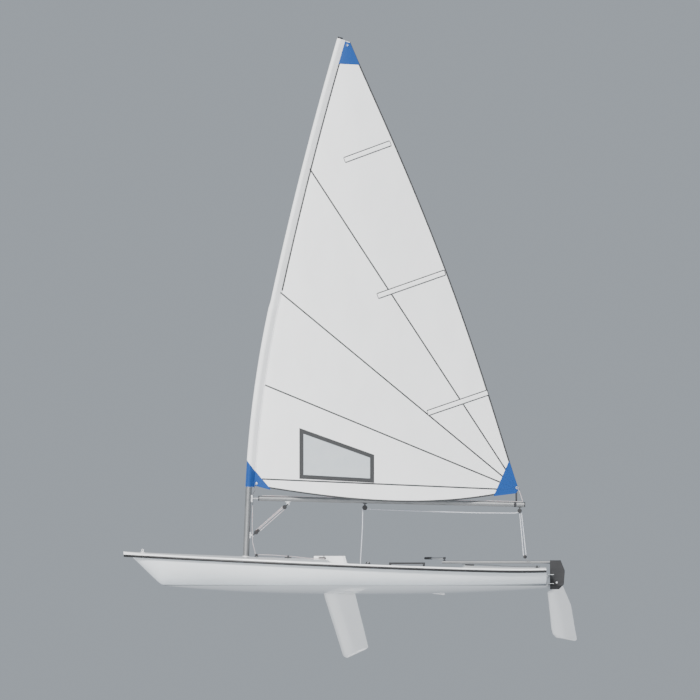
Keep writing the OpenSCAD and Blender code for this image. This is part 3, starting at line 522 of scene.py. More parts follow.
def knot_path(centre, size, axis=(1, 0, 0)):
    """The path of a small overhand knot."""
    turn = Vector((0, 0, 1)).rotation_difference(Vector(axis))
    out = []
    for i in range(25):
        a = 2 * pi * i / 24
        p = Vector((math.sin(a) + 2 * math.sin(2 * a), math.cos(a) - 2 * math.cos(2 * a),
                    -math.sin(3 * a))) * (size / 3)
        out.append(Vector(centre) + turn @ p)
    return out


def lathe(profile, centre, axis, sides=32):
    """A turned solid: profile is (radius, height) pairs along axis."""
    turn = Vector((0, 0, 1)).rotation_difference(Vector(axis).normalized())
    spokes = [(cos(360 * j / sides), sin(360 * j / sides)) for j in range(sides)]
    return rings_to_mesh([[tuple(Vector(centre) + turn @ Vector((r * c, r * s, h))) for c, s in spokes]
                          for r, h in profile])


def drill(radius, centre, axis, low=-40, high=40):
    """A round cutter."""
    return piece("cutter", *lathe([(radius, low), (radius, high)], centre, axis), None, "foil_white")


def screw_head(centre, axis, r=4.2):
    """A pan-head screw with a drive recess."""
    return lathe([(r, -0.5), (r, 0.4), (r * 0.93, 1.3), (r * 0.7, 1.9), (r * 0.42, 2.1),
                  (r * 0.36, 0.9), (0.3, 0.8)], centre, axis, 20)


# ---- Lines of the hull, as in the CAD part ----
HULL_L, BEAM, STERN_BEAM, DRAFT, LAMINATE = 4230, 1390, 1090, 85, 8
SHEER_LOW, SHEER_RISE, RAIL_H, GUNWALE, LIP = 135, 163, 25, 30, 16
BOW, TRANSOM = HULL_L / 2, -HULL_L / 2
SHEER_X, SHEER_FLAT, WIDEST = TRANSOM + 265, 200, -200
NOSE = BOW - 70
SEAT = 0.3


def sheer(x):
    return SHEER_LOW + SHEER_RISE * (hypot(x - SHEER_X, SHEER_FLAT) / (BOW - SHEER_X)) ** 1.3


def half_beam(x):
    if x > WIDEST:
        return BEAM / 2 * max(0, 1 - ((x - WIDEST) / (BOW - WIDEST)) ** 2) ** 0.92
    return BEAM / 2 - (BEAM - STERN_BEAM) / 2 * ((WIDEST - x) / (WIDEST - TRANSOM)) ** 2


def hull_half(x):
    return max(4, half_beam(x) - GUNWALE)


def lip_z(x):
    return sheer(x) + RAIL_H / 2


def rim_z(x):
    return lip_z(x) - SEAT


KNUCKLE, DEEPEST, TRANSOM_DRAFT = BOW - 380, -300, 25
STEM_SLOPE = (rim_z(NOSE) - 4) / (NOSE - KNUCKLE)


def keel(x):
    if x > DEEPEST:
        run = -DRAFT * (1 - ((x - DEEPEST) / (KNUCKLE - DEEPEST)) ** 2.5)
    else:
        run = -DRAFT + (DRAFT - TRANSOM_DRAFT) * ((DEEPEST - x) / (DEEPEST - TRANSOM)) ** 2.3
    stem = (x - KNUCKLE) * STEM_SLOPE
    return (run + stem + hypot(run - stem, 24)) / 2


def fullness(x):
    u = clamp((x - 200) / (NOSE - 200))
    return 3.1 - 1.3 * u * u * (3 - 2 * u)


SECTION_STEPS = 64


def section(x, b, top, low, n):
    out = []
    for i in range(SECTION_STEPS + 1):
        a = radians(90 - 180 * i / SECTION_STEPS)
        s, c = abs(math.sin(a)), abs(math.cos(a))
        down = c ** (2 / n)
        y = b * s ** (2 / n) * (1 - 0.08 * down)
        out.append((x, copysign(y, a) if s > 1e-9 else 0.0, top - (top - low) * down))
    return out


def inner_section(x, at_x, is_open):
    b, top = max(1, hull_half(x) - LAMINATE), rim_z(x)
    low = min(top - 1, keel(x) + LAMINATE) if is_open and x < BOW - 260 else top - 1
    return section(at_x, b, top, low, fullness(x))


def skin(x):
    return section(x, hull_half(x), rim_z(x), keel(x), fullness(x))


BOARD_RAKE, BOARD_FOOT, BOARD_CHORD, BOARD_T, BOARD_DEPTH = 15, -45, 305, 30, 705
BOARD_LEAN = Matrix.Rotation(radians(BOARD_RAKE), 3, "Y")
CASE_OUT = 2 * 5 + 2 * 5 + 0.3
MAST_X, MAST_RAKE, MAST_D, TOP_D = 890, 2.26, 63.5, 50.8


def on_board(u, v, h):
    """A point given along the board's chord, across it and up it."""
    return Vector((BOARD_FOOT, 0, -DRAFT)) + BOARD_LEAN @ Vector((u, v, h))


def case_outline(count, phase):
    """Points round the outside of the daggerboard's case, each with its angle."""
    r = (BOARD_T + CASE_OUT) / 2
    half = (BOARD_CHORD + CASE_OUT) / 2 - r
    for k in range(count):
        a = 2 * pi * (k + phase) / count
        yield copysign(half, math.cos(a)) + r * math.cos(a), r * math.sin(a), a


def build_hull():
    stations = [mix(TRANSOM + LAMINATE, -300, i / 28) for i in range(29)]
    stations += [mix(-300, 1300, i / 30) for i in range(1, 31)]
    stations += [mix(1300, NOSE, 1 - (1 - i / 44) ** 1.35) for i in range(1, 45)]
    rings = [skin(TRANSOM) + inner_section(TRANSOM, TRANSOM, False)[::-1],
             skin(TRANSOM + LAMINATE / 2) + inner_section(TRANSOM, TRANSOM + LAMINATE, False)[::-1]]
    rings += [skin(x) + inner_section(x, x, True)[::-1] for x in stations]
    points, faces = rings_to_mesh(rings, caps=False)
    m = len(rings[0])
    last = (len(rings) - 1) * m
    for j in range(m // 2 - 1):
        k = m - 1 - j
        faces.append((j, j + 1, k - 1, k))
        faces.append((last + j, last + k, last + k - 1, last + j + 1))
    obj = piece("hull_skin", points, faces, "hull", "gelcoat_grey", sharp=40, stands_for=["hull_shell"])
    rings = [[tuple(on_board(u, v, h)) for u, v, _ in case_outline(48, 0)] for h in (-60, 120)]
    case = piece("cutter", *rings_to_mesh(rings), None, "foil_white")
    cut(obj, [case, drill(13.15, (TRANSOM, -150, 30), (1, 0, 0), -10, 30)], 40)


WELL_FRONT, WELL_L, WELL_W, WELL_AFT_W, FLOOR = -190, 1050, 600, 500, 22
WELL_AFT, WALL_SLOPE, WELL_CORNER = WELL_FRONT - WELL_L, 15, 70
RECESS_FRONT, RECESS_RAMP, RECESS_AFT, AFT_RAMP = 20, 60, TRANSOM + 855, 40


def crown(x):
    if x > RECESS_FRONT:
        full = mix(36, 12, (x - RECESS_FRONT) / (BOW - RECESS_FRONT))
        return full * smooth((x - RECESS_FRONT) / RECESS_RAMP)
    if x < RECESS_AFT:
        full = mix(24, 14, (RECESS_AFT - x) / (RECESS_AFT - TRANSOM))
        return full * smooth((RECESS_AFT - x) / AFT_RAMP)
    return 0.0


def deck_z(x, y):
    return lip_z(x) + LIP + crown(x) * (1 - min(1, abs(y) / max(1, half_beam(x))) ** 2.4)


def well_half(x):
    u = clamp((WELL_FRONT - x) / WELL_L)
    from_end = min(WELL_FRONT - WALL_SLOPE - x, x - WELL_AFT - WALL_SLOPE)
    r = WELL_CORNER
    d = r - clamp(from_end / r) * r
    return mix(WELL_W, WELL_AFT_W, u) / 2 - (r - sqrt(max(0, r * r - d * d)))


# The cockpit's wall: (distance out from the floor's edge, share of the height, height to add)
WALL = [(-24, 0, 0), (-14, 0, 1.6), (-6, 0, 6), (-1.5, 0, 13), (2, 0.18, 4), (6.5, 0.5, 0), (11, 0.82, -3),
        (14, 1, -8), (16, 1, -3), (19.5, 1, -0.7), (25, 1, 0)]


def wall_height(d, tall):
    if d <= WALL[0][0]:
        return 0.0
    for (d0, f0, z0), (d1, f1, z1) in zip(WALL, WALL[1:]):
        if d <= d1:
            return mix(f0 * tall + z0, f1 * tall + z1, (d - d0) / (d1 - d0))
    return tall


def surface_z(x, y, w):
    tall = deck_z(x, y) - FLOOR
    side = abs(y) - (w - WALL_SLOPE)
    end = max(x - (WELL_FRONT - WALL_SLOPE), (WELL_AFT + WALL_SLOPE) - x)
    return FLOOR + max(wall_height(side, tall), wall_height(end, tall))


def deck_row(x, drop=0.0):
    """Half of the deck's points at a station, from the centreline out and round the gunwale's edge."""
    b = max(0.6, half_beam(x))
    r = min(10, 0.3 * b)
    w = min(well_half(x), 0.55 * b)
    k = min(1.0, w / 60)
    inner = w - WALL_SLOPE * k
    ys = [inner * u for u in (0, 0.22, 0.44, 0.66, 0.82)]
    ys += [inner + d * k for d, _, _ in WALL]
    ys += [mix(ys[-1], b - r, u) for u in (0.12, 0.25, 0.38, 0.5, 0.62, 0.74, 0.86, 0.94, 1.0)]
    row = [(x, y, surface_z(x, y, w)) for y in ys]
    top = row[-1][2]
    row += [(x, b - r + r * sin(a), top - r * (1 - cos(a))) for a in (18, 36, 54, 72, 90)]
    floor_z = lip_z(x)
    row = [(p[0], p[1], max(floor_z if abs(p[1]) > w + 20 else -1e9, p[2] - drop)) for p in row]
    row.append((x, b, floor_z))
    row.append((x, max(0.5 * b, b - GUNWALE - 6), floor_z))
    return row


def build_deck():
    rows = [(TRANSOM, 200.0)] + [(TRANSOM + 9 * (1 - cos(a)), 9 * (1 - sin(a))) for a in (0, 30, 60, 90)]
    ends = [d for d, _, _ in WALL]
    xs = [mix(TRANSOM + 30, RECESS_AFT - AFT_RAMP - 10, i / 22) for i in range(23)]
    xs += [RECESS_AFT - AFT_RAMP + AFT_RAMP * i / 8 for i in range(9)]
    xs += [WELL_AFT + WALL_SLOPE - d for d in reversed(ends)]
    low, high = WELL_AFT + WALL_SLOPE + 24, WELL_FRONT - WALL_SLOPE - 24
    xs += [low + 60 * (1 - cos(a)) for a in (20, 35, 50, 65, 80, 90)]
    xs += [mix(low + 75, high - 75, i / 30) for i in range(31)]
    xs += [high - 60 * (1 - cos(a)) for a in (90, 80, 65, 50, 35, 20)]
    xs += [WELL_FRONT - WALL_SLOPE + d for d in ends]
    xs += [mix(WELL_FRONT + 30, RECESS_FRONT - 10, i / 8) for i in range(9)]
    xs += [RECESS_FRONT + RECESS_RAMP * i / 12 for i in range(13)]
    xs += [mix(RECESS_FRONT + RECESS_RAMP + 20, BOW - 200, i / 50) for i in range(51)]
    xs += [BOW - 190 * (1 - i / 24) ** 1.8 - 1.0 for i in range(24)]
    rows += [(x, 0.0) for x in sorted(set(round(x, 3) for x in xs))]
    rows += [(BOW - 0.8, 3.0), (BOW - 0.6, 200.0)]
    grid = []
    for x, drop in rows:
        half = deck_row(x, min(drop, 9.0) if drop < 100 else 0.0)
        if drop > 100:
            half = [(p[0], p[1], lip_z(x)) for p in half]
        grid.append([(p[0], -p[1], p[2]) for p in half[:0:-1]] + half)
    cols = len(grid[0])
    points = [p for row in grid for p in row]
    faces = [(i * cols + j, i * cols + j + 1, (i + 1) * cols + j + 1, (i + 1) * cols + j)
             for i in range(len(grid) - 1) for j in range(cols - 1)]
    obj = piece("deck_moulding", points, faces, "hull", "gelcoat_white", sharp=45, stands_for=["deck"])
    height = (deck_z(0, 0) + DRAFT) / cos(BOARD_RAKE)
    hole_through(obj, [(on_board(u, v, height) * MM, BOARD_LEAN @ Vector((math.cos(a), math.sin(a), 0)))
                       for u, v, a in case_outline(36, 0.5)])
    mast_lean = Matrix.Rotation(radians(-MAST_RAKE), 3, "Y")
    normals = [mast_lean @ Vector((cos(9 * k), sin(9 * k), 0)) for k in range(40)]
    centre = Vector((MAST_X, 0, deck_z(MAST_X, 0)))
    hole_through(obj, [((centre + n * 36.4) * MM, n) for n in normals])
    up = sum(p.normal.z for p in obj.data.polygons)
    thick = obj.modifiers.new("thick", "SOLIDIFY")
    thick.thickness = 3 * MM
    thick.offset = -1 if up > 0 else 1
    applied(obj)
    mended(obj)
    smoothed(obj, 45)


# ---- Foils ----
def foil_share(u):
    """Half-thickness at u along the chord from the leading edge, as a share of the most."""
    if u < 0.36:
        return sqrt(max(0, 1 - ((0.36 - u) / 0.36) ** 2)) ** 0.9
    return max(0.10, 1 - ((u - 0.36) / 0.64) ** 1.9 * 0.90)


def foil(name, rows, place, thick, body, stands_for):
    """A foil from rows of (height, trailing edge, leading edge, share of thickness, bluntness)."""
    steps = 30
    rings = []
    for h, back, front, share, blunt in rows:
        ring = []
        for k in range(2 * steps):
            a = pi * k / steps
            u = (1 - math.cos(a)) / 2
            v = mix(foil_share(u), 1 if 0.05 < u < 0.95 else foil_share(0.08) * 0.9, blunt)
            if k in (0, steps):
                v = 0.0
            y = thick / 2 * share * v * (1 if k < steps else -1)
            ring.append(place(mix(front, back, u), y, h))
        rings.append(ring)
    return piece(name, *rings_to_mesh(rings), body, "foil_white", sharp=50, stands_for=stands_for)


def outline_span(outline, h):
    """Lowest and highest first coordinate of a closed outline at height h."""
    found = []
    for (x0, z0), (x1, z1) in zip(outline, outline[1:] + outline[:1]):
        if min(z0, z1) - 1e-6 <= h <= max(z0, z1) + 1e-6 and z0 != z1:
            found.append(mix(x0, x1, (h - z0) / (z1 - z0)))
    return (min(found), max(found)) if found else (0.0, 0.0)


def foil_rows(outline, heights, share, blunt_from, tip, tip_h, least):
    """Rows down a foil, its thickness rounded off over the last tip_h above its tip."""
    rows = []
    for h in heights:
        back, front = outline_span(outline, h)
        near = (h - tip) / tip_h
        if near < 1:
            rounding = sqrt(max(least, 1 - (1 - near) ** 2))
        else:
            rounding = 1.0
        rows.append((h, back + 0.5, front - 0.5, share * rounding, smooth((h - blunt_from) / 60)))
    return rows


def build_daggerboard():
    top_z = deck_z(RECESS_FRONT + RECESS_RAMP, 0) + 2 + 30

    def top_h(u):
        return (top_z + DRAFT + u * sin(BOARD_RAKE)) / cos(BOARD_RAKE)

    low = (DRAFT - BOARD_DEPTH) / cos(BOARD_RAKE)
    tip = BOARD_CHORD * 0.86
    c = BOARD_CHORD / 2
    straight = top_h(-c) - 4
    outline = [(-c, straight), (c, straight), (c, 0), (tip / 2 - 6, low + 30), (tip / 2 - 40, low + 4),
               (-tip / 2 - 10, low + 44), (-c, 0)]

    def place(u, v, h):
        # Above the straight part the rows fan out to the head's level top
        if h > straight:
            h = mix(straight, top_h(u), (h - straight) / 10.0)
        return tuple(on_board(u, v, h))

    rows = [(straight + k, inset - c, c - inset, share, 1)
            for k, inset, share in ((10, 6, 0.62), (9.6, 2, 0.88), (9, 0.6, 0.975), (7, 0.5, 0.985),
                                    (5, 0.5, 0.985), (3, 0.5, 0.985), (1, 0.5, 0.985))]
    heights = [mix(straight - 1.0, low + 6.0, i / 60) for i in range(61)]
    rows += foil_rows(outline, heights, 0.985, 180, low + 6, 26, 0.02)
    obj = foil("daggerboard_foil", rows, place, BOARD_T, "board", ["daggerboard"])
    eye = on_board(60, 0, top_h(60) - 14)
    cut(obj, [drill(6, eye, (0, 1, 0))], 50)
    # Rope handle through the head
    loop = [(0, -14, 0), (0, 14, 0), (-2, 24, 5), (-4, 20, 16), (-6, 0, 22), (-4, -20, 16), (-2, -24, 5)]
    rope("board_handle", [[eye + Vector(p) for p in [*loop, loop[0]]]], 3, "board", dark_rope)


def build_blade():
    depth, r, bolt_x, bolt_z = 555, 48, TRANSOM - 102, 30
    outline = [(bolt_x + r, bolt_z), (bolt_x + r, -46), (TRANSOM - 9, -60), (TRANSOM - 46, -0.76 * depth),
               (TRANSOM - 60, -0.87 * depth), (TRANSOM - 96, 10 - depth * 0.955), (TRANSOM - 290, -depth),
               (TRANSOM - 304, 12 - depth), (TRANSOM - 245, -195), (bolt_x - r, bolt_z)]
    turns = [mix(86, 0, i / 13) for i in range(14)]
    rows = [(bolt_z + r * sin(a), bolt_x - r * cos(a), bolt_x + r * cos(a), 0.98, 1.0) for a in turns]
    heights = [mix(bolt_z, -depth + 3, i / 54) for i in range(1, 55)]
    rows += foil_rows(outline, heights, 0.98, -60, -depth, 24, 0.03)
    obj = foil("rudder_foil", rows, lambda u, v, h: (u, v, h), 18, "blade", ["rudder_blade"])
    cut(obj, [drill(5.1, (bolt_x, 0, bolt_z), (0, 1, 0))], 50)


# ---- Mast curve and sail, as in the CAD part ----
DECK_AT_MAST = deck_z(MAST_X, 0)


def foot_x(z):
    return MAST_X - (z - DECK_AT_MAST) * tan(MAST_RAKE)


BEND_Z, R1, R2, A1, A2 = 900, 11000, 37400, 12.01, 16.3
C1 = (foot_x(BEND_Z) - R1 * cos(MAST_RAKE), BEND_Z - R1 * sin(MAST_RAKE))
JOINT = (C1[0] + R1 * cos(A1), C1[1] + R1 * sin(A1))
C2 = (JOINT[0] - R2 * cos(A1), JOINT[1] - R2 * sin(A1))
HEAD = (C2[0] + R2 * cos(A2), C2[1] + R2 * sin(A2))


def mast_axis_x(z):
    if z < BEND_Z:
        return foot_x(z)
    c, r = (C1, R1) if z < JOINT[1] else (C2, R2)
    return c[0] + sqrt(r * r - (z - c[1]) ** 2)


def mast_slope(z):
    if z < BEND_Z:
        return MAST_RAKE
    c, r = (C1, R1) if z < JOINT[1] else (C2, R2)
    return degrees(asin((z - c[1]) / r))


BOOM_Z, BOOM_GAP, BOOM_L, BOOM_SLOPE = 871, 110, 2650, 1.34
BOOM_X = foot_x(BOOM_Z) - BOOM_GAP
BOOM_R = TOP_D / 2


def boom_z(x):
    return BOOM_Z - (BOOM_X - x) * tan(BOOM_SLOPE)


TACK_Z, CLEW_Z, CLEW_AFT, SLEEVE_BACK = 985, 955, 1840, 54
LEECH_ROUND, FOOT_ROUND, CAMBER = 100, 136, 0.055
HEAD_LOW, HEAD_W = 40, 62
HEAD_AFT = mast_axis_x(HEAD[1] - HEAD_LOW) - SLEEVE_BACK - HEAD_W


def sleeve_tail(z):
    a = mast_slope(z)
    return (mast_axis_x(z) - SLEEVE_BACK * cos(a), z - SLEEVE_BACK * sin(a))


def leech_point(v):
    t = 1 - v
    out = LEECH_ROUND * max(0, 4 * t * (1 - t)) ** 1.3
    return (mix(-CLEW_AFT, HEAD_AFT, v) - out, mix(CLEW_Z, HEAD[1] - HEAD_LOW, v))


def luff_point(v):
    x, z = sleeve_tail(mix(TACK_Z + 14, HEAD[1] - 6, v))
    return (x - 0.6, z)


def sail_xz(s, v):
    a, b = luff_point(v), leech_point(v)
    drop = FOOT_ROUND * 4 * s * (1 - s) * (0.75 + 0.5 * s) * (1 - v) ** 4
    return (mix(a[0], b[0], s), mix(a[1], b[1], s) - drop)


def belly(s, v):
    a, b = luff_point(v), leech_point(v)
    chord = hypot(a[0] - b[0], a[1] - b[1])
    full = min(1, 0.35 + 3 * (1 - v))
    return CAMBER * chord * full * sin(180 * clamp(s) ** 0.8)


def sail_y(x, z):
    """Where the sail's middle is at x and z, found by Newton's method in its own grid."""
    s, v = 0.5, clamp((z - CLEW_Z) / (HEAD[1] - HEAD_LOW - CLEW_Z))
    h = 1e-4
    for _ in range(9):
        p, ps, pv = sail_xz(s, v), sail_xz(s + h, v), sail_xz(s, v + h)
        a, c = (ps[0] - p[0]) / h, (ps[1] - p[1]) / h
        b, d = (pv[0] - p[0]) / h, (pv[1] - p[1]) / h
        det = a * d - b * c
        if abs(det) < 1e-9:
            break
        ex, ez = x - p[0], z - p[1]
        s = min(1.08, max(-0.08, s + (ex * d - b * ez) / det))
        v = min(1.03, max(-0.06, v + (a * ez - c * ex) / det))
    return belly(s, clamp(v))


def on_sail(x, z):
    return (x, sail_y(x, z), z)


HALF_CLOTH = 0.6


def strip_grid(points, width, step=45):
    """A grid that follows a line on the sail, width across."""
    flat = [Vector((p[0], p[1])) for p in points]
    dense = []
    for a, b in zip(flat, flat[1:]):
        count = max(1, ceil((b - a).length / step))
        dense += [a.lerp(b, k / count) for k in range(count)]
    dense.append(flat[-1])
    rows = []
    for i, p in enumerate(dense):
        d = (dense[min(i + 1, len(dense) - 1)] - dense[max(i - 1, 0)]).normalized()
        n = Vector((-d.y, d.x)) * (width / 2)
        rows.append([on_sail(*(p - n)), on_sail(*p), on_sail(*(p + n))])
    return rows


def strips(name, lines, width, finish, slot="sailcloth", lift=0.15, thick=0.5, sides=(1, -1), step=45):
    """Stitched tape along lines on both faces of the sail."""
    parts = [slab(strip_grid(line, width, step), HALF_CLOTH + lift, thick, side)
             for line in lines for side in sides]
    return piece(name, *joined(parts), "rig", slot, finish, 50)


def patch_grid(corners, step=30):
    """A grid over a four-cornered outline on the sail."""
    a, b, c, d = [Vector(p) for p in corners]
    n = max(2, ceil(max((b - a).length, (c - d).length) / step))
    m = max(2, ceil(max((d - a).length, (c - b).length) / step))
    return [[on_sail(*a.lerp(d, i / m).lerp(b.lerp(c, i / m), j / n)) for j in range(n + 1)]
            for i in range(m + 1)]


def patches(name, quads, step, lift, thick, slot, finish=None, stands_for=()):
    """Four-cornered patches on both faces of the sail."""
    parts = [slab(patch_grid(quad, step), HALF_CLOTH + lift, thick, side) for quad in quads for side in (1, -1)]
    return piece(name, *joined(parts), "rig", slot, finish, 50, stands_for)


def prism_xz(outline):
    """A cutter through the sail over an outline."""
    rings = [[(x, y, z) for x, z in outline] for y in (-300, 500)]
    return piece("cutter", *rings_to_mesh(rings), None, "sailcloth")


WINDOW = [(335, 1545), (-370, 1292), (-370, 1050), (335, 1088)]
CLEW = (-CLEW_AFT, CLEW_Z)
SEAMS = [[CLEW, (310, 4255)], [CLEW, (600, 2975)], [CLEW, (700, 2005)], [CLEW, (728, 1065)]]
BATTENS = [((-98, 4255), (-552, 4422)), ((-430, 2895), (-1096, 3129)), ((-930, 1725), (-1524, 1928))]


def sail_normal(x, z):
    a, b, c, d = [Vector(on_sail(x + i, z + j)) for i, j in ((8, 0), (-8, 0), (0, 8), (0, -8))]
    n = (c - d).cross(a - b).normalized()
    return n if n.y > 0 else -n


def tack_edge(x):
    """Height of the tack patch's sloping edge, one line over the cloth and the sleeve."""
    return 966 + 1.18 * (x - 645)


def build_sail():
    cols, rows = 60, 130
    grid = [[(*sail_xz(j / cols, i / rows), belly(j / cols, i / rows)) for j in range(cols + 1)]
            for i in range(rows + 1)]
    grid = [[(x, y, z) for x, z, y in row] for row in grid]
    area = sum((grid[i][0][0] - grid[i][cols][0]) * (grid[i + 1][0][2] - grid[i][0][2])
               for i in range(rows)) * MM * MM
    panel = piece("sail_cloth", *slab(grid, -HALF_CLOTH, 2 * HALF_CLOTH), "rig", "sailcloth", sharp=60,
                  stands_for=["sail_panel"])
    cut(panel, [prism_xz(WINDOW)], 60)
    film = piece("sail_window_film", *slab(patch_grid(WINDOW), -0.25, 0.5), "rig", "window_film",
                 sharp=60, stands_for=["sail_window"])

    # Border tape of the window, mitred at its corners
    def inset(d):
        mid = Vector((sum(p[0] for p in WINDOW) / 4, sum(p[1] for p in WINDOW) / 4))
        lines = []
        for k in range(4):
            a, b = Vector(WINDOW[k]), Vector(WINDOW[(k + 1) % 4])
            n = Vector((-(b - a).y, (b - a).x)).normalized()
            if n.dot(mid - a) < 0:
                n = -n
            lines.append((a + n * d, b - a))
        out = []
        for k in range(4):
            (p, u), (q, w) = lines[k - 1], lines[k]
            t = ((q - p).x * w.y - (q - p).y * w.x) / (u.x * w.y - u.y * w.x)
            out.append(tuple(p + u * t))
        return out

    outer, inner = inset(-22), inset(20)
    quads = [(outer[k - 1], outer[k], inner[k], inner[k - 1]) for k in (1, 2, 3, 0)]
    border = patches("window_tape", quads, 35, 0.2, 0.7, "sailcloth", seam_grey)

    seams = strips("sail_seams", SEAMS, 15, seam_grey)
    leech = [leech_point(i / 60) for i in range(61)]
    foot = [sail_xz(i / 60, 0) for i in range(61)]
    hems = strips("sail_hems", [[(x + 8, z) for x, z in leech], [(x, z + 8) for x, z in foot]], 16,
                  seam_grey, lift=0.25)
    dark = [sleeve_tail(mix(JOINT[1] + 204, HEAD[1] - 12, i / 60)) for i in range(61)]
    pale = [sleeve_tail(mix(TACK_Z + 20, JOINT[1] + 204, i / 60)) for i in range(61)]
    luff = strips("luff_stitching", [[(x - 9, z) for x, z in dark]], 15, seam_grey, lift=0.35)
    luff_low = strips("luff_stitching_low", [[(x - 7, z) for x, z in pale]], 9, seam_white, lift=0.35)

    # Batten pockets with a rigid batten inside: a padded bar, its tapes and a closed outer end
    pockets, tapes = [], []
    for a, b in BATTENS:
        a, b = Vector(a), Vector(b)
        d = (b - a).normalized()
        n = Vector((-d.y, d.x)) * 25
        grid = []
        for i in range(25):
            c = a.lerp(b, i / 24)
            row = []
            for j in range(9):
                u = -1 + j / 4
                x, y, z = on_sail(*(c + n * u))
                row.append((x, y + 1.7 * sqrt(max(0, 1 - u * u)), z))
            grid.append(row)
        pockets.append(slab(grid, HALF_CLOTH + 0.1, 0.9))
        pockets.append(slab([[on_sail(*(a.lerp(b, i / 24) + n * u)) for u in (-1, -0.5, 0, 0.5, 1)]
                             for i in range(25)], HALF_CLOTH + 0.1, 0.8, -1))
        tapes += [[a - n, b - n], [a + n, b + n], [a - n * 1.1, a + n * 1.1], [b - n * 1.1, b + n * 1.1]]
    pocket = piece("batten_pocket_cloth", *joined(pockets), "rig", "sailcloth", sharp=50,
                   stands_for=["batten_pockets"])
    pocket_tape = strips("batten_stitching", [[tuple(p) for p in line] for line in tapes], 13, seam_grey,
                         lift=1.2, thick=0.6)

    # Blue corners, with radial stitching at the clew
    tail_low, tail_high = sleeve_tail(TACK_Z + 16), sleeve_tail(1120)[0] - 1
    tack = [(tail_low[0] - 1, tail_low[1]), (tail_high, tack_edge(tail_high)), (645, 966), (652, 958)]
    clew_top = leech_point(0.066)
    clew = [(clew_top[0] + 3, clew_top[1]), (-1586, 893), (-1808, 921), (-CLEW_AFT + 3, CLEW_Z + 4)]
    head_leech = leech_point((5206 - CLEW_Z) / (HEAD[1] - HEAD_LOW - CLEW_Z))
    head_top = leech_point(0.999)
    head_luff, head_seam = sleeve_tail(5232), sleeve_tail(HEAD[1] - 12)
    head = [(head_seam[0] - 1, head_seam[1]), (head_luff[0] - 1, head_luff[1]),
            (head_leech[0] + 4, head_leech[1]), (head_top[0] + 4, head_top[1])]
    corner = patches("corner_cloth", (tack, clew, head), 22, 0.75, 0.8, "blue_cloth",
                     stands_for=["corner_patches"])
    fan = [[(-1812, 965), tuple(Vector(clew[0]).lerp(Vector(clew[1]), u))] for u in (0.2, 0.4, 0.6, 0.8)]
    strips("clew_stitching", fan, 5, blue_stitch, "blue_cloth", lift=1.6, thick=0.4)
    rings = []
    for x, z, r in ((-1822, CLEW_Z + 22, 13), (sleeve_tail(TACK_Z + 40)[0] - 20, TACK_Z + 34, 12),
                    (HEAD_AFT + 34, HEAD[1] - 66, 10)):
        centre = on_sail(x, z)
        rings.append(lathe([(r * 0.62, -2.6), (r, -3.2), (r * 1.12, -2.2), (r * 1.12, 2.2), (r, 3.2),
                            (r * 0.62, 2.6), (r * 0.55, 0), (r * 0.62, -2.6)], centre,
                           sail_normal(x, z), 36))
    eyelets = piece("sail_eyelets", *joined(rings), "rig", "steel", sharp=45)


def sleeve_ring(z, grow=0.0, tail=0.0):
    """A ring of the luff sleeve: round over the spar, its flanks running back to the seam."""
    a = mast_slope(z)
    below = smooth((JOINT[1] + 90 - z) / 90)
    r = mix(TOP_D / 2, MAST_D / 2, below) + 2.4 + grow
    back = SLEEVE_BACK + tail
    touch = acos(r / back)
    ring = []
    for j in range(33):
        t = -pi + touch + (2 * pi - 2 * touch) * j / 32
        ring.append((r * math.cos(t), r * math.sin(t)))
    edge = 1.3 + grow
    flank = []
    for sign in (1, -1):
        p = (r * math.cos(pi - touch), sign * r * math.sin(pi - touch))
        pts = [(mix(p[0], -back, u), mix(p[1], sign * edge, u)) for u in (0.2, 0.45, 0.7, 0.9, 1.0)]
        flank.append(pts)
    ring = ring + flank[0] + flank[1][::-1]
    x0 = mast_axis_x(z)
    return [(x0 + u * cos(a), v, z + u * sin(a)) for u, v in ring]


def hollow(outer, inner):
    """A closed shell between two stacks of rings."""
    m = len(outer[0])
    points = [p for ring in outer for p in ring] + [p for ring in inner for p in ring]
    n = len(outer) * m
    faces = []
    for i in range(len(outer) - 1):
        for j in range(m):
            a, b = i * m + j, i * m + (j + 1) % m
            faces.append((a, b, b + m, a + m))
            faces.append((n + a, n + a + m, n + b + m, n + b))
    for row, flip in ((0, False), (len(outer) - 1, True)):
        for j in range(m):
            a, b = row * m + j, row * m + (j + 1) % m
            faces.append((a, n + a, n + b, b) if not flip else (a, b, n + b, n + a))
    return points, faces


def build_sleeve():
    zs = [mix(TACK_Z, HEAD[1] - 3, i / 150) for i in range(151)]
    zs = sorted(set(zs + [JOINT[1] + k * 10 for k in range(10)]))
    outer = [sleeve_ring(z) for z in zs]
    inner = [sleeve_ring(z, -1.1, -1.5) for z in zs]
    sleeve = piece("luff_sleeve_cloth", *hollow(outer, inner), "rig", "sailcloth", sharp=50,
                   stands_for=["luff_sleeve"])
    # The tack's blue corner carries on round the sleeve
    tops = [tack_edge(p[0]) for p in sleeve_ring(1180, 0.7, 0.4)]
    rings = [[sleeve_ring(mix(TACK_Z + 1, top, i / 28), 0.7, 0.4)[k] for k, top in enumerate(tops)]
             for i in range(29)]
    inner = [[(p[0], p[1] * 0.985, p[2]) for p in ring] for ring in rings]
    piece("tack_band", *hollow(rings, inner), "rig", "blue_cloth", sharp=50)


# ---- Rigging ----
def around(x, z):
    """Gives points by their offsets in X and Z from a pin, with Y last."""
    return lambda dx, dz, y=0: (x + dx, y, z + dz)


def on_deck(x, y, up):
    return (x, y, deck_z(x, y) + up)


def on_boom(x, y, up):
    return (x, y, boom_z(x) + BOOM_R + up)


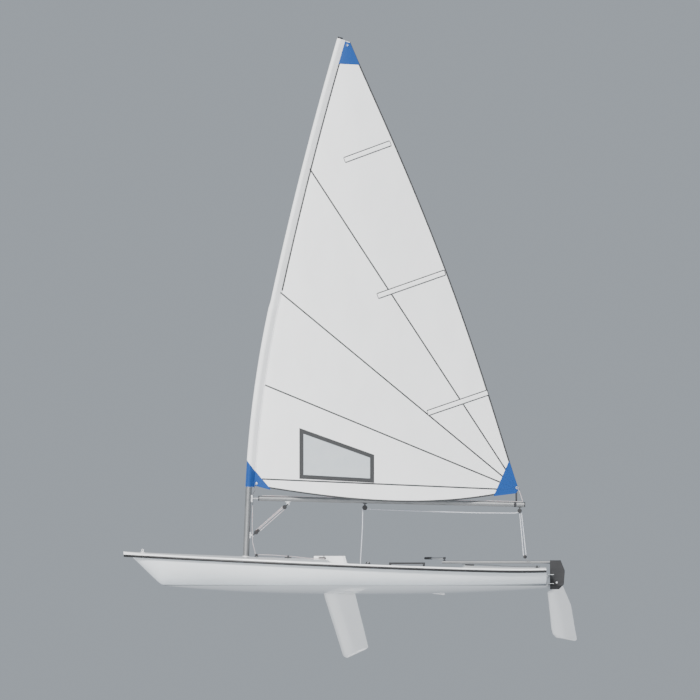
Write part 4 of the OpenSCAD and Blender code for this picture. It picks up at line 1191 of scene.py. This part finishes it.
def build_mainsheet():
    end_x = BOOM_X - BOOM_L + 46.5
    end, mid = around(end_x, 746.7), around(-298.4, 778.9)
    ratchet, trav = around(-270, FLOOR + 59), around(-1900, 288)
    # Under the boom, from the becket through the end block to the middle block
    under = [(end_x + 60, 0, 724), (-1400, 0, 727), (-985, 0, 739), (-620, 0, 752), (-338.4, 0, 764)]
    over = [mid(-20, -14), mid(-21, 0), mid(-15, 15), mid(0, 21), mid(15, 15), mid(21, 0)]
    rope("mainsheet_boom", [[end(17, -4), end(14, -16), *under, *over]], 5, "rig", sheet_rope)
    rope("mainsheet_fall", [[mid(21, 0), (-275.4, 0, 600), (-262, 0, 350), ratchet(23, 6)]], 5, None,
         sheet_rope, blend=(ratchet(0, 30), mid(0, -30)))
    y = -(well_half(-400) + 60)
    z = deck_z(-330, y) + 17
    rope("mainsheet_cockpit", [[ratchet(23, 6), ratchet(20, -13), ratchet(0, -23), ratchet(-20, -13),
                                ratchet(-25, 12, -6), (-308, -120, 140), (-322, -250, 196),
                                (-327, y + 40, z - 1), (-330, y, z), (-334, y - 42, z - 5),
                                (-337, y - 68, z - 10)]], 5, "hull", sheet_rope)
    rope("mainsheet_knot", [knot_path((-338, y - 72, z - 3), 9, (0, 1, 0))], 4.6, "hull", sheet_rope)
    # Aft tackle between the boom's end and the traveller
    rope("mainsheet_aft", [[trav(-13, 0), end(-17, 0)], [trav(13, 0), end(-2, -28)]], 5, None, sheet_rope,
         blend=(trav(0, 30), end(0, -30)))
    rope("mainsheet_turn", [[trav(-13, 0), trav(-9, -9), trav(0, -13), trav(9, -9), trav(13, 0)]], 5,
         "hull", sheet_rope)
    cheeks = [[(3, 5.5 * s), (17, 5.5 * s), (19, 6.5 * s), (18, 8.5 * s), (13, 10 * s), (4, 10.4 * s)]
              for s in (-1, 1)]
    wheel = [(4, -5), (12, -5), (9.5, 0), (12, 5), (4, 5)]
    piece("traveller_block", *joined([lathe(p, trav(0, 0), (0, 1, 0)) for p in (*cheeks, wheel)]), "hull",
          "black_plastic")
    # Traveller: from its cleat aft through the starboard fairlead, over the tiller, and to port
    x, y = TRANSOM + 95, 405
    z = deck_z(x, y) + 14
    cleat = around(RECESS_AFT - AFT_RAMP - 45, deck_z(RECESS_AFT - AFT_RAMP - 45, -150) + 14)
    lead = [cleat(80, 0, -146), cleat(0, 0, -150), cleat(-70, 0, -158), on_deck(-1760, -305, 9), (x + 30, -y, z),
            (x - 16, -y, z)]
    bridle = [(x + 14, -y, z), (x + 22, 14 - y, z + 3), (-1935, -140, 246), trav(-4, -20, -22), trav(0, -23),
              trav(-4, -20, 22), (-1935, 140, 246), (x + 22, y - 14, z + 3), (x + 14, y, z), (x - 16, y, z)]
    rope("traveller_line", [lead, bridle], 3, "hull", dark_rope)
    rope("traveller_knots", [knot_path((x - 26, s * y, z), 6.5) for s in (-1, 1)], 3, "hull", dark_rope)


def build_control_lines():
    # Vang: parallel falls between its two blocks
    low_pin = Vector((foot_x(505), 505)) - Vector((cos(MAST_RAKE), sin(MAST_RAKE))) * (MAST_D / 2 + 28)
    high_pin = Vector((470 + (BOOM_R + 26) * sin(BOOM_SLOPE), boom_z(470) - BOOM_R - 26))
    pull = (high_pin - low_pin).normalized()
    across = Vector((-pull.y, pull.x))
    a, b = low_pin + pull * 46, high_pin - pull * 46
    jaws = a + pull * 16 - across * 4
    falls = [(a - across * 16, 0, b - across * 16, 0), (a + across * 16, 0, b + across * 16, 0),
             (a - across * 6, 6, b - across * 3, 5), (b - across * 8, -5, jaws, -9)]
    rope("vang_knot", [knot_path((jaws.x - 10, -14, jaws.y - 8), 7, (pull.x, 0, pull.y))], 3, "rig", thin_rope)
    rope("vang_falls", [[(p.x, y0, p.y), (q.x, y1, q.y)] for p, y0, q, y1 in falls], 3, "rig", thin_rope)
    # Downhaul and outhaul: down the mast, through the plate's blocks, and aft to their cleats
    plate_x = MAST_X - 105
    for s, name, top_z, finish in ((1, "outhaul_line", 800, thin_rope), (-1, "downhaul_line", 930, dark_rope)):
        block = around(plate_x, deck_z(plate_x, s * 60) + 17)
        base = block(9, 6, s * 60)
        down = [(foot_x(z) - back, s * y, z) for z, back, y in ((top_z, 46, 20), (620, 50, 26), (430, 62, 38))]
        rope(name + "_mast", [[*down, base]], 2.5, None, finish, blend=((base[0], 0, 330), (base[0], 0, 560)))
        aft = [on_deck(x, s * y, up) for x, y, up in ((650, 78, 24), (470, 95, 17), (400, 97, 14), (260, 92, 4),
                                                      (120, 88, 4))]
        rope(name + "_deck", [[base, block(2, 8, s * 60), block(-10, 4, s * 61), *aft]], 2.5, "hull", finish)
        rope(name + "_knot", [knot_path(on_deck(112, s * 88, 7), 6)], 2.6, "hull", finish)
    # Outhaul along the boom, from its cleat aft to the clew
    run = [(BOOM_X - 30, 12, boom_z(BOOM_X) + BOOM_R + 3), on_boom(0, 8, 3), on_boom(-1000, 6, 3),
           on_boom(-1700, 4, 4), on_boom(-1790, 4, 3), on_boom(-1868, 4, 3)]
    rope("outhaul_boom", [run], 2.5, "rig", thin_rope)
    up = [run[-1], on_boom(-1876, 4, 5), on_boom(-1876, 4, 14), (-1850, 4, CLEW_Z - 26), (-1826, 6, CLEW_Z + 20)]
    back = [(-1826, -6, CLEW_Z + 20), (-1848, -4, CLEW_Z - 26), on_boom(-1874, 0, 15)]
    rope("outhaul_clew", [up, back], 2.5, "rig", thin_rope)
    # From the tack's eyelet down to the vang's tang
    x = foot_x(960)
    rope("tack_tie", [[(x - 58, 6, TACK_Z + 16), (x - 60, 14, 940), (foot_x(930) - 46, -20, 930)]], 2.5, "rig",
         dark_rope)


# ---- Straps and grips ----
STRAP_FRONT, STRAP_AFT, STRAP_W, STRAP_SAG = -360, -1200, 50, 9


def strap_sag(x):
    return STRAP_SAG * sin(180 * clamp((STRAP_FRONT - x) / (STRAP_FRONT - STRAP_AFT))) ** 0.8


def build_straps():
    rings = []
    for i in range(61):
        x = mix(STRAP_FRONT, STRAP_AFT, i / 60)
        arch = sin(180 * i / 60)
        row = [(x, t * STRAP_W / 2 * (1 - 0.05 * arch), 95 + (1 - t * t) * arch - strap_sag(x))
               for t in (-1 + j / 4 for j in range(9))]
        rings.append(row + [(x, y, z + 2.6) for x, y, z in reversed(row)])
    strap = piece("hiking_strap_web", *rings_to_mesh(rings), "hull", "webbing", sharp=50,
                  stands_for=["hiking_strap"])
    # A stitched box with a cross at each end
    boxes = []
    for x0, x1 in ((STRAP_FRONT - 6, STRAP_FRONT - 46), (STRAP_AFT + 6, STRAP_AFT + 46)):
        corners = [(x0, -19), (x0, 19), (x1, -19), (x1, 19)]
        for a, b in ((0, 1), (2, 3), (0, 2), (1, 3), (0, 3), (1, 2)):
            flat = [Vector(corners[a]).lerp(Vector(corners[b]), k / 8) for k in range(9)]
            boxes.append(tube_mesh([Vector((p.x, p.y, 98.0 - strap_sag(p.x))) for p in flat], 0.8, 6))
    piece("strap_stitching", *joined(boxes), "hull", "webbing", seam_white)

    # Clew strap: a webbing loop round the boom with a tail up to the clew
    x0 = -CLEW_AFT + 38
    rings = [[(x0 + dx, (BOOM_R + r) * sin(7.5 * i), boom_z(x0) + (BOOM_R + r) * cos(7.5 * i))
              for dx, r in ((-12, 0.5), (12, 0.5), (12, 2.2), (-12, 2.2))] for i in range(48)]
    loop = rings_to_mesh(rings + [rings[0]], caps=False)
    tail = []
    for i in range(9):
        z = mix(boom_z(x0) + BOOM_R + 1.5, CLEW_Z + 20, i / 8)
        bow = 2.0 * sin(180 * i / 8)
        tail.append([(x0 - 20 + dx, y + bow, z) for dx, y in ((0, 1.2), (18, 1.2), (18, 4.2), (0, 4.2))])
    piece("clew_strap_web", *joined([loop, rings_to_mesh(tail)]), "rig", "webbing", sharp=40,
          stands_for=["clew_strap"])
    # Ribbed grip on the extension
    pivot, axis = (TRANSOM - 22 + 1065 - 22, 0, 273), (sin(12), -cos(12), 0)
    profile = [(10.2, 600), (12.2, 600.5), (13, 603)]
    for i in range(31):
        at = 606 + i * 9.9
        profile += [(13, at), (13, at + 5.5), (11.6, at + 6.6), (11.6, at + 8.6)]
    profile += [(13, 914), (12.4, 914.9), (10.2, 915)]
    piece("extension_grip_foam", *lathe(profile, pivot, axis, 36), "extension", "grip_foam", sharp=28,
          stands_for=["extension_grip"])
    piece("extension_end", *lathe([(9.5, 918), (9.5, 926), (7.5, 929.5), (2, 930)], pivot, axis, 28),
          "extension", "black_plastic")


def build_screws():
    spots = []
    for s in (-1, 1):
        y = s * (well_half(-400) + 60)
        spots += [((-330 + dx, y + 2 * dx, deck_z(-330, y) + 8.6), 4.2) for dx in (-13, 13)]
        for dx in (-26, 26):
            spots.append((on_deck(470 + dx, s * 95, 9.2), 4.2))
            spots.append((on_deck(TRANSOM + 95 + dx * 0.62, s * 405, 4.6), 3))
        spots.append((on_deck(MAST_X - 105, s * 86, 3.4), 4.2))
        spots.append((on_deck(BOW - 190 + s * 18, 0, 3.5), 4.2))
    heads = [screw_head(spot, (0, 0, 1), r) for spot, r in spots]
    heads += [screw_head((TRANSOM - 3.4, y, z), (-1, 0, 0)) for z in (98, 8) for y in (-25, 25)]
    piece("deck_screws", *joined(heads), "hull", "steel", sharp=35)


build_hull()
build_deck()
build_daggerboard()
build_blade()
build_sail()
build_sleeve()
build_mainsheet()
build_control_lines()
build_straps()
build_screws()

# ---- Finishes of the CAD pieces that show ----
for name, obj in nodes.items():
    if obj.hide_render:
        continue
    finish = boom_metal if name in ("boom", "tiller") else finishes[slot_of[name]]
    obj.data.materials.clear()
    obj.data.materials.append(finish)

# ---- Floor at the water's level, light and camera ----
floor_mesh = bpy.data.meshes.new("floor")
floor_mesh.from_pydata([(-40, -40, 0), (40, -40, 0), (40, 40, 0), (-40, 40, 0)], [], [(0, 1, 2, 3)])
t = Tree("floor")
tone = t.ramp(t.noise(0.8), [(0.3, (0.55, 0.58, 0.61)), (0.7, (0.58, 0.61, 0.64))])
floor_mesh.materials.append(t.finish(tone, 0.75))
linked("floor", floor_mesh)

world = bpy.data.worlds.new("studio")
bpy.context.scene.world = world
world.use_nodes = True
world.node_tree.nodes["Background"].inputs["Color"].default_value = (0.60, 0.66, 0.73, 1)
world.node_tree.nodes["Background"].inputs["Strength"].default_value = 0.6


def sun(name, strength, turn, angle, colour=(1, 1, 1)):
    data = bpy.data.lights.new(name, "SUN")
    data.energy = strength
    data.angle = radians(angle)
    data.color = colour
    linked(name, data).rotation_euler = [radians(a) for a in turn]


sun("key", 6.0, (-52, 0, -28), 12, (1.0, 0.985, 0.96))
sun("fill", 0.9, (58, 0, 40), 25, (0.95, 0.97, 1.0))
sun("side", 0.8, (-84, 0, -10), 30)
sun("under", 2.0, (-125, 0, 20), 30)

camera_data = bpy.data.cameras.new("camera")
camera_data.type = "ORTHO"
camera_data.ortho_scale = 7.0
camera_data.clip_end = 60
camera = linked("camera", camera_data)
camera.location = (-0.15, 14.0, 2.355)
camera.rotation_euler = (radians(90), 0, radians(180))
bpy.context.scene.camera = camera
